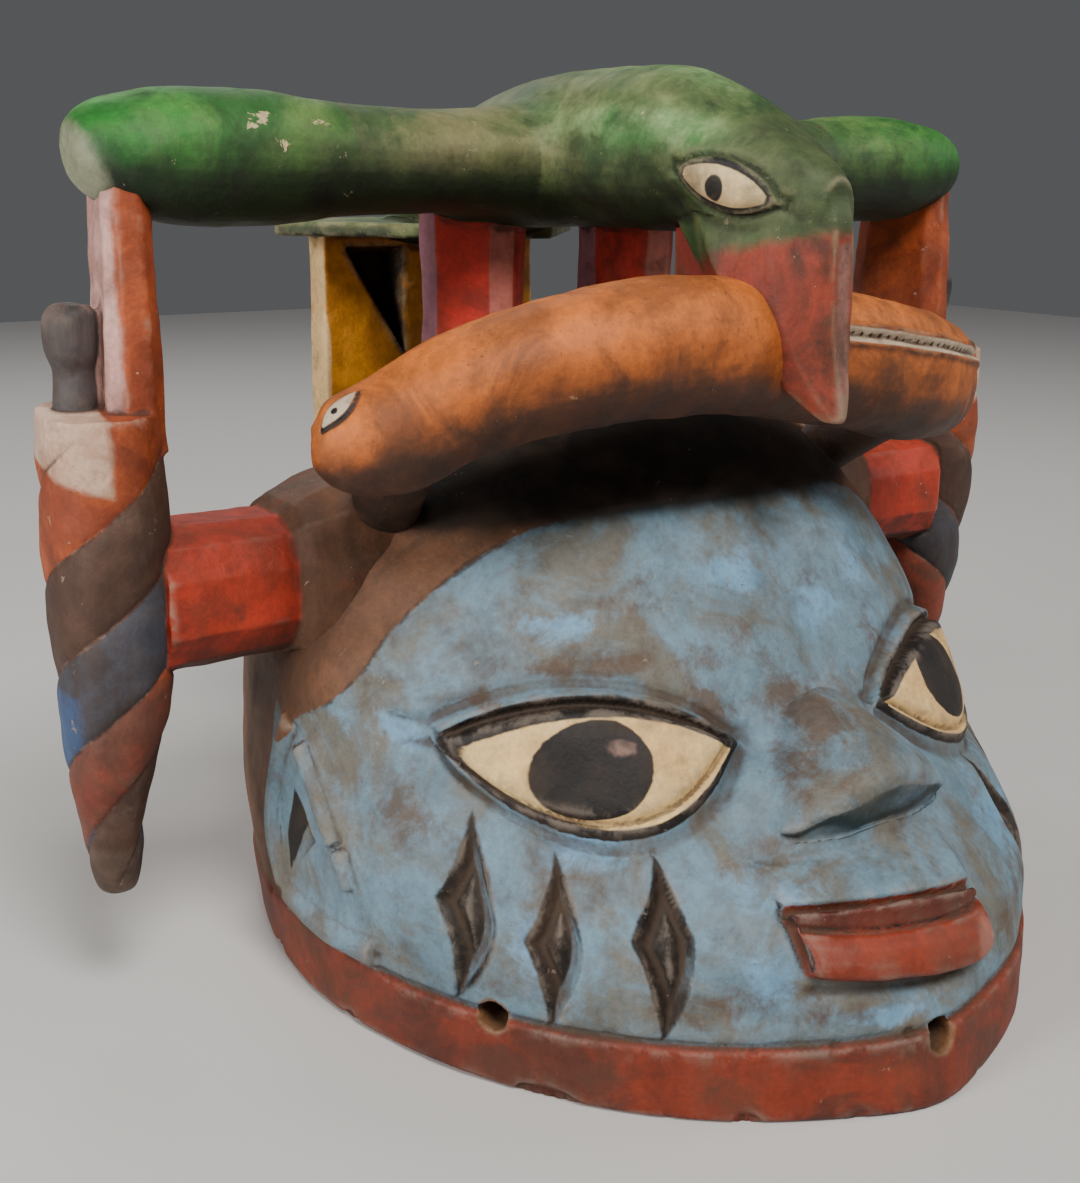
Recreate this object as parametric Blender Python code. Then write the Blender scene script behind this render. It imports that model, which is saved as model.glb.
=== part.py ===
"""Gelede helmet mask, carved and painted wood, one block.

Metres, +Z up. The mask faces -Y and stands on its rim at Z = 0, with the
origin under the middle of its bounding box.

A hollow human head carries a crescent snake across its brow, and behind the
snake a bird with spread wings on two legs and a tail board. A sheathed knife
hangs from each wing tip and is tied to the head by a faceted peg.
"""

import math

import bmesh
import bpy
from mathutils import Vector

NODE_NAME = "gelede_mask"

# Head: height, half width, front reach, back reach, y of the widest line, squareness
HEAD_LEVELS = (
    (0.000, 0.1135, 0.1375, 0.1415, 0.000, 1.88),
    (0.021, 0.1150, 0.1350, 0.1415, 0.001, 1.94),
    (0.040, 0.1167, 0.1295, 0.1412, 0.002, 2.00),
    (0.055, 0.1170, 0.1165, 0.1400, 0.005, 1.97),
    (0.070, 0.1162, 0.0985, 0.1375, 0.008, 1.95),
    (0.085, 0.1148, 0.0820, 0.1342, 0.011, 1.95),
    (0.100, 0.1120, 0.0737, 0.1290, 0.014, 1.98),
    (0.115, 0.1050, 0.0637, 0.1222, 0.0175, 2.00),
    (0.130, 0.0970, 0.0541, 0.1142, 0.021, 2.00),
    (0.145, 0.0828, 0.0411, 0.0989, 0.021, 2.00),
    (0.158, 0.0640, 0.0263, 0.0792, 0.021, 2.00),
    (0.168, 0.0420, 0.0092, 0.0575, 0.020, 2.00),
    (0.174, 0.0150, -0.010, 0.0340, 0.020, 2.00),
)
HEAD_TOP = 0.1755
HEAD_SIDES = 40
WALL = 0.016              # thickness of the head at its rim
CROWN_WALL = 0.026        # thickness of wood left above the wearer's head
CAVITY_SIDES = 24

RIM_HEIGHT = 0.021        # red band at the foot of the head
RIM_STEP = 0.0010         # how far the band stands proud of the face
RIM_ROUND = 0.0022        # worn lower edge

LASH_HOLE_RADIUS = 0.0050
# Lash holes: degrees round the rim, -90 is the front, and height
LASH_HOLES = ((-90, 0.0175), (-149, 0.0200), (-31, 0.0200), (45, 0.0190), (90, 0.0180), (135, 0.0190))

# Face
MOUTH_X = -0.0105         # the mouth sits a little to one side
MUZZLE_PUSH = 0.0050      # swelling of the face round the mouth
MUZZLE_HALF_WIDTH = 0.032
MUZZLE_HEIGHT = 0.050
MUZZLE_SPREAD = 0.0165
CHIN_X, CHIN_PUSH, CHIN_SPREAD = -0.0080, 0.0042, 0.020   # blunt point of the rim under the mouth
CHIN_TOP = 0.040
EYE_OUTER_X, EYE_INNER_X = 0.0965, 0.0262
EYE_OUTER_Z, EYE_INNER_Z = 0.0885, 0.0845
EYE_RISE, EYE_DROP = 0.0135, 0.0195
EYE_DROP_SKEW = 0.72      # pulls the lowest point of the lower lid towards the temple
EYE_BULGE = 0.0085
LID_RADIUS = 0.0021
EYE_STATIONS = 9
LID_INSET = 0.018         # the lower lid starts and ends inside the upper one
MOUTH_HALF_WIDTH = 0.0290
MOUTH_LINE_Z = 0.0458
MOUTH_SLOPE = -0.07
# Height of each lip at its near end, middle and far end
UPPER_LIP, LOWER_LIP = (0.0045, 0.0080, 0.0045), (0.0064, 0.0090, 0.0100)
LIP_GAP = 0.0014
LIP_PROUD = 0.0062
SCAR_RELIEF = 0.0030
SCAR_BOW = 0.0020         # the widest point lies a little out and up from the middle
# Cheek scars: x and z of the top, x and z of the bottom, half width
SCARS = (
    (0.0945, 0.0725, 0.1030, 0.0225, 0.0036),
    (0.0830, 0.0648, 0.0890, 0.0210, 0.0046),
    (0.0622, 0.0652, 0.0700, 0.0210, 0.0056),
)

# Ear: a flat relief on the side of the head, in y and z
EAR_BARS = (
    ("rim", ((0.006, 0.083), (0.013, 0.066), (0.016, 0.048), (0.012, 0.030)), 0.0042),
    ("fold", ((0.000, 0.077), (-0.010, 0.065), (-0.018, 0.054)), 0.0036),
    ("tragus", ((-0.0205, 0.053), (-0.0235, 0.047), (-0.0245, 0.043)), 0.0036),
    ("lobe", ((0.010, 0.029), (-0.006, 0.0265), (-0.020, 0.0260), (-0.033, 0.0262)), 0.0052),
)

# Bird: y, middle height, half width, half height of the body from tail to brow
BIRD_BODY = (
    (0.122, 0.2120, 0.018, 0.0050),
    (0.100, 0.2200, 0.023, 0.0110),
    (0.070, 0.2325, 0.029, 0.0190),
    (0.035, 0.2380, 0.033, 0.0225),
    (0.000, 0.2385, 0.030, 0.0225),
    (-0.022, 0.2380, 0.0260, 0.0220),
    (-0.043, 0.2345, 0.0235, 0.0172),
    (-0.058, 0.2300, 0.0198, 0.0140),
    (-0.070, 0.2260, 0.0125, 0.0118),
    (-0.080, 0.2232, 0.0055, 0.0080),
)
# Wings: x, middle height, half depth, half height
WING_Y = 0.027
WING = (
    (0.015, 0.2345, 0.028, 0.0185),
    (0.045, 0.2340, 0.022, 0.0150),
    (0.075, 0.2340, 0.0195, 0.0145),
    (0.110, 0.2342, 0.0205, 0.0175),
    (0.132, 0.2342, 0.0205, 0.0174),
    (0.146, 0.2345, 0.0190, 0.0150),
    (0.155, 0.2352, 0.0150, 0.0115),
    (0.1610, 0.2360, 0.0075, 0.0060),
)

# Beak: height, front y, back y, half width
BEAK = (
    (0.2270, -0.0800, -0.0250, 0.0155),
    (0.2200, -0.0820, -0.0330, 0.0185),
    (0.2065, -0.0828, -0.0450, 0.0195),
    (0.1912, -0.0840, -0.0560, 0.0165),
    (0.1790, -0.0852, -0.0680, 0.0100),
    (0.1720, -0.0860, -0.0770, 0.0050),
    (0.1695, -0.0855, -0.0810, 0.0026),
)
BEAK_RIDGE = 0.18         # width of the flat ridge down the beak, as a share of the whole
# Bird's eye: outline on the cheek, y and height
BIRD_EYE = (
    (-0.0445, 0.2310), (-0.0500, 0.2350), (-0.0575, 0.2360), (-0.0640, 0.2332),
    (-0.0695, 0.2280), (-0.0655, 0.2246), (-0.0575, 0.2234), (-0.0490, 0.2258),
)

TAIL_TOP, TAIL_THICKNESS = 0.2150, 0.0050
TAIL_OUTLINE = ((0.018, 0.070), (0.045, 0.100), (0.062, 0.118), (0.050, 0.138), (0.020, 0.1425))

LEG_X, LEG_Y, LEG_RADIUS = 0.0303, 0.0445, 0.0168
LEG_FLAT = 15.0           # degrees, half the width of the leg's four narrow faces
BOARD_HALF_WIDTH = 0.0440
BOARD_FRONT_Y, BOARD_BACK_Y = 0.1180, 0.1300
HOLLOW_INNER_X, HOLLOW_OUTER_X = 0.0120, 0.0350   # the two hollows in the front of the board
HOLLOW_DEPTH, HOLLOW_TOP, HOLLOW_FOOT = 0.0075, 0.2060, 0.1650

# Snake: x, y, middle height, half height, half depth, from the near tip to the far tip
SNAKE = (
    (-0.1230, -0.0260, 0.1655, 0.0050, 0.0060),
    (-0.1180, -0.0290, 0.1660, 0.0115, 0.0120),
    (-0.1060, -0.0355, 0.1690, 0.0150, 0.0160),
    (-0.0880, -0.0450, 0.1795, 0.0155, 0.0180),
    (-0.0600, -0.0550, 0.1870, 0.0175, 0.0190),
    (-0.0300, -0.0575, 0.1888, 0.0180, 0.0180),
    (0.0000, -0.0565, 0.1857, 0.0185, 0.0165),
    (0.0300, -0.0565, 0.1812, 0.0190, 0.0180),
    (0.0560, -0.0530, 0.1758, 0.0195, 0.0185),
    (0.0780, -0.0440, 0.1715, 0.0185, 0.0170),
    (0.0930, -0.0350, 0.1690, 0.0155, 0.0140),
    (0.1020, -0.0290, 0.1675, 0.0110, 0.0100),
    (0.1060, -0.0260, 0.1665, 0.0045, 0.0045),
)

# Snake foot: x, y, height and radius, from the snake down to the crown
SNAKE_FOOT = (
    (0.0960, -0.0270, 0.1660, 0.0110),
    (0.0890, -0.0050, 0.1490, 0.0100),
    (0.0800, 0.0120, 0.1330, 0.0090),
)
PROP_HALF_X, PROP_FRONT_Y, PROP_BACK_Y = 0.0075, -0.0460, -0.0240
PROP_FOOT, PROP_TOP = 0.1850, 0.2300

PEG_Y, PEG_Z, PEG_SQUARE, PEG_SIDES = 0.0235, 0.1200, 2.7, 12
# Peg from inside the head, where it flares, to inside the sheath: x and half thickness
PEG = ((0.0820, 0.0315), (0.1090, 0.0235), (0.1130, 0.0200), (0.1500, 0.0206))

# Sheathed knives: height, x of the middle, half width across x, half depth along y
SHEATH_Y = 0.0250
SHEATH = (
    (0.1710, 0.1586, 0.0150, 0.0225),
    (0.1500, 0.1586, 0.0155, 0.0228),
    (0.1250, 0.1584, 0.0160, 0.0226),
    (0.1050, 0.1584, 0.0150, 0.0214),
    (0.0940, 0.1592, 0.0142, 0.0200),
    (0.0830, 0.1600, 0.0128, 0.0182),
    (0.0700, 0.1616, 0.0102, 0.0146),
    (0.0580, 0.1622, 0.0078, 0.0108),
    (0.0450, 0.1618, 0.0068, 0.0094),
    (0.0385, 0.1618, 0.0056, 0.0078),
    (0.0370, 0.1618, 0.0038, 0.0052),
)
SHEATH_SIDES = 12
SHEATH_STEPS = 20
BAND_STEP = 0.0014        # swelling of each band of the twist
BAND_LEAD = 0.0792        # fall of the twist in one turn
BANDS_PER_TURN = 3
BAND_START = {-1: 0.1270, 1: 0.1140}   # height of a groove at the outer side of each sheath
STRUT_X, STRUT_Y = 0.1482, 0.0290
STRUT_HALF_X, STRUT_HALF_Y = 0.0070, 0.0185
STRUT_LEVELS = ((0.160, 1.04), (0.185, 1.0), (0.205, 0.96), (0.222, 0.88), (0.236, 0.86))
KNIFE_YAW = 12.0          # degrees, front edges of board and sheath turned outward
# Handle: x, y, height and radius, from the mouth of the sheath to the pommel
HANDLE = (
    (0.1638, 0.0270, 0.1660, 0.0050),
    (0.1636, 0.0270, 0.1815, 0.0050),
    (0.1640, 0.0270, 0.1865, 0.0066),
    (0.1634, 0.0270, 0.1950, 0.0064),
    (0.1622, 0.0270, 0.1980, 0.0048),
)
WEB_HALF_Y, WEB_TOP = 0.0030, 0.1965

WOOD_COLOUR = (0.20, 0.36, 0.47, 1.0)
WOOD_ROUGHNESS = 0.62


def clear_scene():
    for item in list(bpy.data.objects):
        bpy.data.objects.remove(item, do_unlink=True)


def curve_value(rows, position, column):
    """Smooth value of one column of a table whose first column is the position."""
    places = [row[0] for row in rows]
    rising = places[-1] > places[0]
    if (position <= places[0]) == rising and position != places[0]:
        return rows[0][column]
    index = 0
    while index < len(rows) - 2 and (position > places[index + 1]) == rising:
        index += 1
    before, start = rows[max(index - 1, 0)], rows[index]
    end, after = rows[index + 1], rows[min(index + 2, len(rows) - 1)]
    span = end[0] - start[0]
    share = min(max((position - start[0]) / span, 0.0), 1.0)
    slope_in = (end[column] - before[column]) / (end[0] - before[0]) * span
    slope_out = (after[column] - start[column]) / (after[0] - start[0]) * span
    square, cube = share * share, share ** 3
    return ((2 * cube - 3 * square + 1) * start[column] + (cube - 2 * square + share) * slope_in
            + (3 * square - 2 * cube) * end[column] + (cube - square) * slope_out)


def head_section(height):
    return [curve_value(HEAD_LEVELS, height, column) for column in range(1, 6)]


def muzzle(x, height):
    """How far the face swells forward round the mouth and at the chin."""
    across = math.exp(-(abs(x - MOUTH_X) / MUZZLE_HALF_WIDTH) ** 4)
    along = math.exp(-((height - MUZZLE_HEIGHT) / MUZZLE_SPREAD) ** 2)
    fade = max(1.0 - (height / CHIN_TOP) ** 2, 0.0)
    chin = CHIN_PUSH * math.exp(-((x - CHIN_X) / CHIN_SPREAD) ** 2) * fade
    return MUZZLE_PUSH * across * along + chin


def skin_front(x, height, proud=0.0):
    """Point of the face above x at a height, pushed out by proud."""
    half, front, _, middle, square = head_section(height)
    share = max(1.0 - (abs(x) / half) ** square, 0.0) ** (1.0 / square)
    y = middle - (front + middle) * share - muzzle(x, height)
    point = Vector((x, y, height))
    if proud == 0.0:
        return point
    return point + proud * skin_normal(x, height)


def skin_normal(x, height):
    step = 0.0008
    along = skin_front(x + step, height) - skin_front(x - step, height)
    rise = skin_front(x, height + step) - skin_front(x, height - step)
    return along.cross(rise).normalized()


def skin_side(side, y, height, proud=0.0):
    """Point of the side of the head at y and a height, pushed out by proud."""
    half, front, back, middle, square = head_section(height)
    reach = (front + middle) if y < middle else (back - middle)
    share = max(1.0 - (abs(y - middle) / reach) ** square, 0.0) ** (1.0 / square)
    return Vector((side * (half * share + proud), y, height))


def ring(centre, across, up, square, count, turn=0.0):
    """Closed loop of points: an ellipse at square 2, boxier above it."""
    power = 2.0 / square
    points = []
    for step in range(count):
        angle = turn + 2.0 * math.pi * step / count
        c, s = math.cos(angle), math.sin(angle)
        points.append(Vector(centre) + Vector(across) * math.copysign(abs(c) ** power, c)
                      + Vector(up) * math.copysign(abs(s) ** power, s))
    return points


def solid_from(name, mesh):
    bmesh.ops.remove_doubles(mesh, verts=mesh.verts, dist=1e-6)
    bmesh.ops.triangulate(mesh, faces=mesh.faces)
    bmesh.ops.recalc_face_normals(mesh, faces=mesh.faces)
    data = bpy.data.meshes.new(name)
    mesh.to_mesh(data)
    mesh.free()
    item = bpy.data.objects.new(name, data)
    bpy.context.collection.objects.link(item)
    return item


def loft(name, rings):
    """Closed solid through a row of rings, each end closed on its middle."""
    mesh = bmesh.new()
    rows = [[mesh.verts.new(point) for point in points] for points in rings]
    count = len(rows[0])
    for lower, upper in zip(rows, rows[1:]):
        for step in range(count):
            after = (step + 1) % count
            mesh.faces.new((lower[step], lower[after], upper[after], upper[step]))
    for row in (rows[0], rows[-1]):
        middle = mesh.verts.new(sum((vert.co for vert in row), Vector()) / count)
        for step in range(count):
            mesh.faces.new((row[step], row[(step + 1) % count], middle))
    return solid_from(name, mesh)


def tube(name, path, radii, sides=8, flat=1.0, face=Vector((0, 0, 1))):
    """Loft along a path. flat scales the ring along face."""
    rings = []
    for index, point in enumerate(path):
        before, after = path[max(index - 1, 0)], path[min(index + 1, len(path) - 1)]
        along = (after - before).normalized()
        across = along.cross(face).normalized()
        up = across.cross(along).normalized()
        radius = radii[index]
        rings.append(ring(point, across * radius, up * radius * flat, 2.0, sides))
    return loft(name, rings)


def block(name, corners):
    """Convex solid round a cloud of corners."""
    mesh = bmesh.new()
    for corner in corners:
        mesh.verts.new(corner)
    bmesh.ops.convex_hull(mesh, input=mesh.verts)
    return solid_from(name, mesh)


def combine(body, tool, operation="UNION"):
    """Join or cut one solid by another and keep only the result."""
    change = body.modifiers.new(operation.lower(), "BOOLEAN")
    change.object = tool
    change.operation = operation
    change.solver = "EXACT"
    graph = bpy.context.evaluated_depsgraph_get()
    result = bpy.data.meshes.new_from_object(body.evaluated_get(graph))
    body.modifiers.clear()
    old = body.data
    body.data = result
    bpy.data.meshes.remove(old)
    bpy.data.objects.remove(tool, do_unlink=True)


def head_ring(height, grow, count):
    half, front, back, middle, square = head_section(height)
    power = 2.0 / square
    points = []
    for step in range(count):
        angle = 2.0 * math.pi * step / count
        c, s = math.cos(angle), math.sin(angle)
        x = (half + grow) * math.copysign(abs(c) ** power, c)
        reach = (front + middle if s < 0 else back - middle) + grow
        y = middle + reach * math.copysign(abs(s) ** power, s)
        if s < 0 and grow > -0.5 * WALL:
            y -= muzzle(x, height)
        points.append(Vector((x, y, height)))
    return points


def make_head():
    levels = [0.021 + 0.0105 * step for step in range(1, 12)] + [0.147, 0.156, 0.164, 0.170, 0.1735]
    rings = [head_ring(0.0, RIM_STEP - RIM_ROUND, HEAD_SIDES), head_ring(RIM_ROUND, RIM_STEP, HEAD_SIDES)]
    rings.append(head_ring(RIM_HEIGHT - RIM_STEP, RIM_STEP, HEAD_SIDES))
    rings.append(head_ring(RIM_HEIGHT, 0.0, HEAD_SIDES))
    rings += [head_ring(level, 0.0, HEAD_SIDES) for level in levels]
    return loft(NODE_NAME, rings)


def make_cavity():
    """Room for the wearer's head, open at the rim."""
    levels = (0.0, 0.030, 0.060, 0.090, 0.115, 0.132, 0.143)
    rings = [head_ring(0.0, -WALL, CAVITY_SIDES)]
    rings[0] = [point - Vector((0, 0, 0.01)) for point in rings[0]]
    top = HEAD_TOP - CROWN_WALL
    for level in levels:
        height = level * top / levels[-1] * 0.98
        thinner = WALL + (CROWN_WALL - WALL) * (height / top) ** 2
        rings.append(head_ring(height, -thinner, CAVITY_SIDES))
    return loft("cavity", rings)


def eye_point(share, lift, proud):
    """Point of the eye: share runs from the outer corner to the inner one, lift from the
    lower lid at -1 to the upper lid at 1."""
    x = EYE_OUTER_X + (EYE_INNER_X - EYE_OUTER_X) * share
    line = EYE_OUTER_Z + (EYE_INNER_Z - EYE_OUTER_Z) * share
    place = share if lift > 0 else share ** EYE_DROP_SKEW
    bow = (1.0 - (2.0 * place - 1.0) ** 2) ** (0.8 if lift > 0 else 1.0)
    reach = EYE_RISE if lift > 0 else EYE_DROP
    return x, line + lift * reach * bow, proud * bow * math.cos(lift * math.pi / 2.0)


def make_eye(side):
    """Almond eyeball with its two lids."""
    rings = []
    across_steps = 5
    for index in range(EYE_STATIONS):
        share = 0.03 + 0.94 * index / (EYE_STATIONS - 1)
        front, back = [], []
        for step in range(across_steps):
            lift = -1.0 + 2.0 * step / (across_steps - 1)
            x, z, proud = eye_point(share, lift, EYE_BULGE)
            front.append(skin_front(side * x, z, proud + 0.0004))
            back.append(skin_front(side * x, z, -0.006))
        rings.append(front + back[::-1])
    parts = [loft("eyeball", rings)]
    for lift in (-1.0, 1.0):
        path, radii = [], []
        for index in range(EYE_STATIONS):
            inset = LID_INSET if lift < 0 else 0.0
            share = inset + (1.0 - 2.0 * inset) * index / (EYE_STATIONS - 1)
            x, z, _ = eye_point(share, lift, 0.0)
            bow = math.sin(math.pi * share)
            path.append(skin_front(side * x, z, 0.0006 + 0.0022 * bow))
            radii.append(LID_RADIUS * (0.55 + 0.45 * bow))
        parts.append(tube("lid", path, radii, sides=6))
    return parts


def make_nose():
    """Broad wedge with a slanted underside."""
    corners = []
    for side in (-1, 1):
        for x, y, z in ((0.004, -0.0815, 0.0985), (0.010, -0.0800, 0.0930), (0.0065, -0.1150, 0.0810),
                        (0.0200, -0.1125, 0.0765), (0.0310, -0.1060, 0.0700), (0.0325, -0.1010, 0.0670),
                        (0.0240, -0.1040, 0.0640), (0.0100, -0.1090, 0.0660), (0.0250, -0.0950, 0.0780),
                        (0.0200, -0.0800, 0.0650)):
            corners.append(Vector((side * x, y, z)))
    return [block("nose", corners)]


def make_mouth():
    """Two lips as bars that follow the muzzle."""
    parts = []
    for sign, (near, whole, far) in ((-1, LOWER_LIP), (1, UPPER_LIP)):
        rings = []
        steps = 8
        for index in range(steps + 1):
            share = -1.0 + 2.0 * index / steps
            x = MOUTH_X + share * MOUTH_HALF_WIDTH
            tall = (0.5 * near * share * (share - 1.0) + whole * (1.0 - share * share)
                    + 0.5 * far * share * (share + 1.0))
            middle = MOUTH_LINE_Z + MOUTH_SLOPE * (x - MOUTH_X) + sign * (LIP_GAP + tall) * 0.5
            proud = LIP_PROUD * (1.0 - 0.35 * abs(share) ** 3)
            low, high = middle - tall * 0.5, middle + tall * 0.5
            inner, outer = (low, high) if sign > 0 else (high, low)
            rings.append([skin_front(x, inner, proud - 0.0020), skin_front(x, middle, proud),
                          skin_front(x, outer, proud - 0.0012), skin_front(x, outer, -0.006),
                          skin_front(x, inner, -0.006)])
        parts.append(loft("lip", rings))
    return parts


def scar_frame(side, scar):
    top_x, top_z, low_x, low_z, half = scar
    middle_x, middle_z = 0.5 * (top_x + low_x) + SCAR_BOW, 0.5 * (top_z + low_z) + SCAR_BOW
    outline = ((top_x, top_z), (middle_x + half, middle_z), (low_x, low_z), (middle_x - half, middle_z))
    return [skin_front(side * x, z) for x, z in outline], skin_normal(side * middle_x, middle_z)


def make_scar_cut(side, scar):
    """Cutter for one lozenge; its hollow end leaves the faceted boss standing."""
    rhomb, normal = scar_frame(side, scar)
    middle = sum(rhomb, Vector()) / 4.0
    rings = [[middle + (point - middle) * size + normal * lift for point in rhomb]
             for size, lift in ((1.12, 0.006), (0.86, -SCAR_RELIEF), (0.62, -SCAR_RELIEF), (0.20, -0.0004))]
    return loft("scar cut", rings)


def make_ear(side):
    parts = []
    for name, points, half in EAR_BARS:
        rings = []
        for index, (y, z) in enumerate(points):
            before, after = points[max(index - 1, 0)], points[min(index + 1, len(points) - 1)]
            run = Vector((0, after[0] - before[0], after[1] - before[1])).normalized()
            across = Vector((0, -run.z, run.y)) * half
            surface = skin_side(side, y, z)
            out = Vector((side, 0, 0))
            rings.append([surface - across - out * 0.005, surface + across - out * 0.005,
                          surface + across * 0.8 + out * 0.0025, surface + out * 0.0040,
                          surface - across * 0.8 + out * 0.0025])
        parts.append(loft("ear " + name, rings))
    return parts


def cheek(y, height):
    """Half width of the bird at y and a height."""
    middle, wide, tall = [curve_value(BIRD_BODY, y, column) for column in (1, 2, 3)]
    lift = min(abs(height - middle) / tall, 0.9)
    return wide * (1.0 - lift ** 2.1) ** (1.0 / 2.1)


def make_bird():
    parts = []
    rings = [ring((0, y, z), (wide, 0, 0), (0, 0, tall), 2.1, 16) for y, z, wide, tall in BIRD_BODY]
    parts.append(loft("bird body", rings))
    for side in (-1, 1):
        rings = [ring((side * x, WING_Y, z), (0, deep, 0), (0, 0, tall), 2.2, 12) for x, z, deep, tall in WING]
        parts.append(loft("wing", rings))
    rings = []
    for z, front, back, half in BEAK:
        deep = back - front
        edge = [(BEAK_RIDGE * half, front), (0.72 * half, front + 0.30 * deep), (half, front + 0.72 * deep),
                (0.80 * half, back)]
        edge += [(-x, y) for x, y in edge[::-1]]
        rings.append([Vector((x, y, z)) for x, y in edge])
    parts.append(loft("beak", rings))
    for side in (-1, 1):
        rim = [Vector((side * (cheek(y, z) + 0.0008), y, z)) for y, z in BIRD_EYE]
        middle = sum(rim, Vector()) / len(rim)
        inner = [point - Vector((side * 0.008, 0, 0)) for point in rim]
        crown = [middle + (point - middle) * 0.5 + Vector((side * 0.002, 0, 0)) for point in rim]
        parts.append(loft("bird eye", [inner, rim, crown]))
    outline = [Vector((x, y, TAIL_TOP)) for x, y in TAIL_OUTLINE]
    outline += [Vector((-point.x, point.y, point.z)) for point in outline[::-1]]
    drop = Vector((0, 0, TAIL_THICKNESS))
    parts.append(loft("tail", [[point - drop for point in outline], outline]))
    return parts


def make_legs_and_board():
    parts = []
    for side in (-1, 1):
        rings = []
        for z, size in ((0.148, LEG_RADIUS * 1.05), (0.190, LEG_RADIUS), (0.224, LEG_RADIUS * 1.03)):
            angles = [math.radians(quarter + lean) for quarter in (0, 90, 180, 270) for lean in (-LEG_FLAT, LEG_FLAT)]
            rings.append([Vector((side * LEG_X + size * math.cos(angle), LEG_Y + size * math.sin(angle), z))
                          for angle in angles])
        parts.append(loft("leg", rings))
    plan = ((-BOARD_HALF_WIDTH, BOARD_FRONT_Y), (BOARD_HALF_WIDTH, BOARD_FRONT_Y),
            (BOARD_HALF_WIDTH, BOARD_BACK_Y), (-BOARD_HALF_WIDTH, BOARD_BACK_Y))
    rings = [[Vector((x, y, z)) for x, y in plan] for z in (0.085, 0.212)]
    board = loft("tail board", rings)
    for side in (-1, 1):
        deep, mouth = BOARD_FRONT_Y + HOLLOW_DEPTH, BOARD_FRONT_Y - 0.004
        inner, outer = side * HOLLOW_INNER_X, side * HOLLOW_OUTER_X
        corners = [(x, y, HOLLOW_TOP) for x in (inner, outer) for y in (mouth, deep)]
        corners += [(inner, mouth, HOLLOW_FOOT), (inner, BOARD_FRONT_Y + 0.001, HOLLOW_FOOT),
                    (outer, mouth, HOLLOW_TOP - 0.003), (outer, BOARD_FRONT_Y + 0.001, HOLLOW_TOP - 0.003)]
        combine(board, block("hollow", [Vector(corner) for corner in corners]), "DIFFERENCE")
    parts.append(board)
    return parts


def make_snake():
    """Snake across the brow, with its two feet on the crown and the prop under the bird."""
    rings = []
    for index, (x, y, z, tall, deep) in enumerate(SNAKE):
        before, after = SNAKE[max(index - 1, 0)], SNAKE[min(index + 1, len(SNAKE) - 1)]
        along = Vector((after[0] - before[0], after[1] - before[1], after[2] - before[2])).normalized()
        out = Vector((0, 0, 1)).cross(along).normalized()
        up = along.cross(out).normalized()
        rings.append(ring((x, y, z), -out * deep, up * tall, 2.2, 14))
    parts = [loft("snake", rings)]
    for side in (-1, 1):
        path = [Vector((side * x, y, z)) for x, y, z, _ in SNAKE_FOOT]
        parts.append(tube("snake foot", path, [row[3] for row in SNAKE_FOOT], sides=8))
    post = [Vector((x, y, z)) for x in (-PROP_HALF_X, PROP_HALF_X) for y in (PROP_FRONT_Y, PROP_BACK_Y)
            for z in (PROP_FOOT, PROP_TOP)]
    parts.append(block("prop", post))
    return parts


def band_push(side, angle, height):
    """Swelling of the twisted bands, with a groove between one and the next."""
    turns = (height - BAND_START[side]) / BAND_LEAD + angle / (2.0 * math.pi)
    place = (turns * BANDS_PER_TURN) % 1.0
    return BAND_STEP * (1.0 - (2.0 * place - 1.0) ** 2)


def turned(side, x, y, middle_x, middle_y, height):
    """Point of a level section of the knife, turned about its own middle."""
    yaw = math.radians(KNIFE_YAW)
    out = x * math.cos(yaw) - y * math.sin(yaw)
    back = x * math.sin(yaw) + y * math.cos(yaw)
    return Vector((side * (middle_x + out), middle_y + back, height))


def make_knife(side):
    parts = []
    rings = []
    top, foot = SHEATH[0][0], SHEATH[-1][0]
    for index in range(SHEATH_STEPS + 1):
        height = top + (foot - top) * (index / SHEATH_STEPS) ** 0.96
        middle, wide, deep = [curve_value(SHEATH, height, column) for column in (1, 2, 3)]
        fade = min(1.0, (top - height) / 0.02) * min(1.0, (height - foot) / 0.01)
        points = []
        for step in range(SHEATH_SIDES):
            angle = 2.0 * math.pi * step / SHEATH_SIDES
            c, s = math.cos(angle), math.sin(angle)
            push = fade * band_push(side, angle, height)
            x = (wide + push) * math.copysign(abs(c) ** 0.87, c)
            y = (deep + push) * math.copysign(abs(s) ** 0.87, s)
            points.append(turned(side, x, y, middle, SHEATH_Y, height))
        rings.append(points)
    parts.append(loft("sheath", rings))
    rings = []
    for z, grow in STRUT_LEVELS:
        x, y = STRUT_HALF_X * grow, STRUT_HALF_Y * grow
        edge = ((x, -0.72 * y), (0.45 * x, -y), (-0.45 * x, -y), (-x, -0.72 * y),
                (-x, 0.62 * y), (-0.45 * x, y), (0.45 * x, y), (x, 0.72 * y))
        rings.append([turned(side, px, py, STRUT_X, STRUT_Y, z) for px, py in edge])
    parts.append(loft("strut", rings))
    rings = [ring((side * x, y, z), (radius, 0, 0), (0, radius * 1.25, 0), 2.0, 8) for x, y, z, radius in HANDLE]
    parts.append(loft("knife handle", rings))
    web = [Vector((side * x, HANDLE[0][1] + y, z)) for x in (STRUT_X, HANDLE[0][0])
           for y in (-WEB_HALF_Y, WEB_HALF_Y) for z in (HANDLE[0][2], WEB_TOP)]
    parts.append(block("handle web", web))
    rings = [ring((side * x, PEG_Y, PEG_Z), (0, half, 0), (0, 0, half), PEG_SQUARE, PEG_SIDES, math.pi / PEG_SIDES)
             for x, half in PEG]
    parts.append(loft("peg", rings))
    return parts


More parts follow.
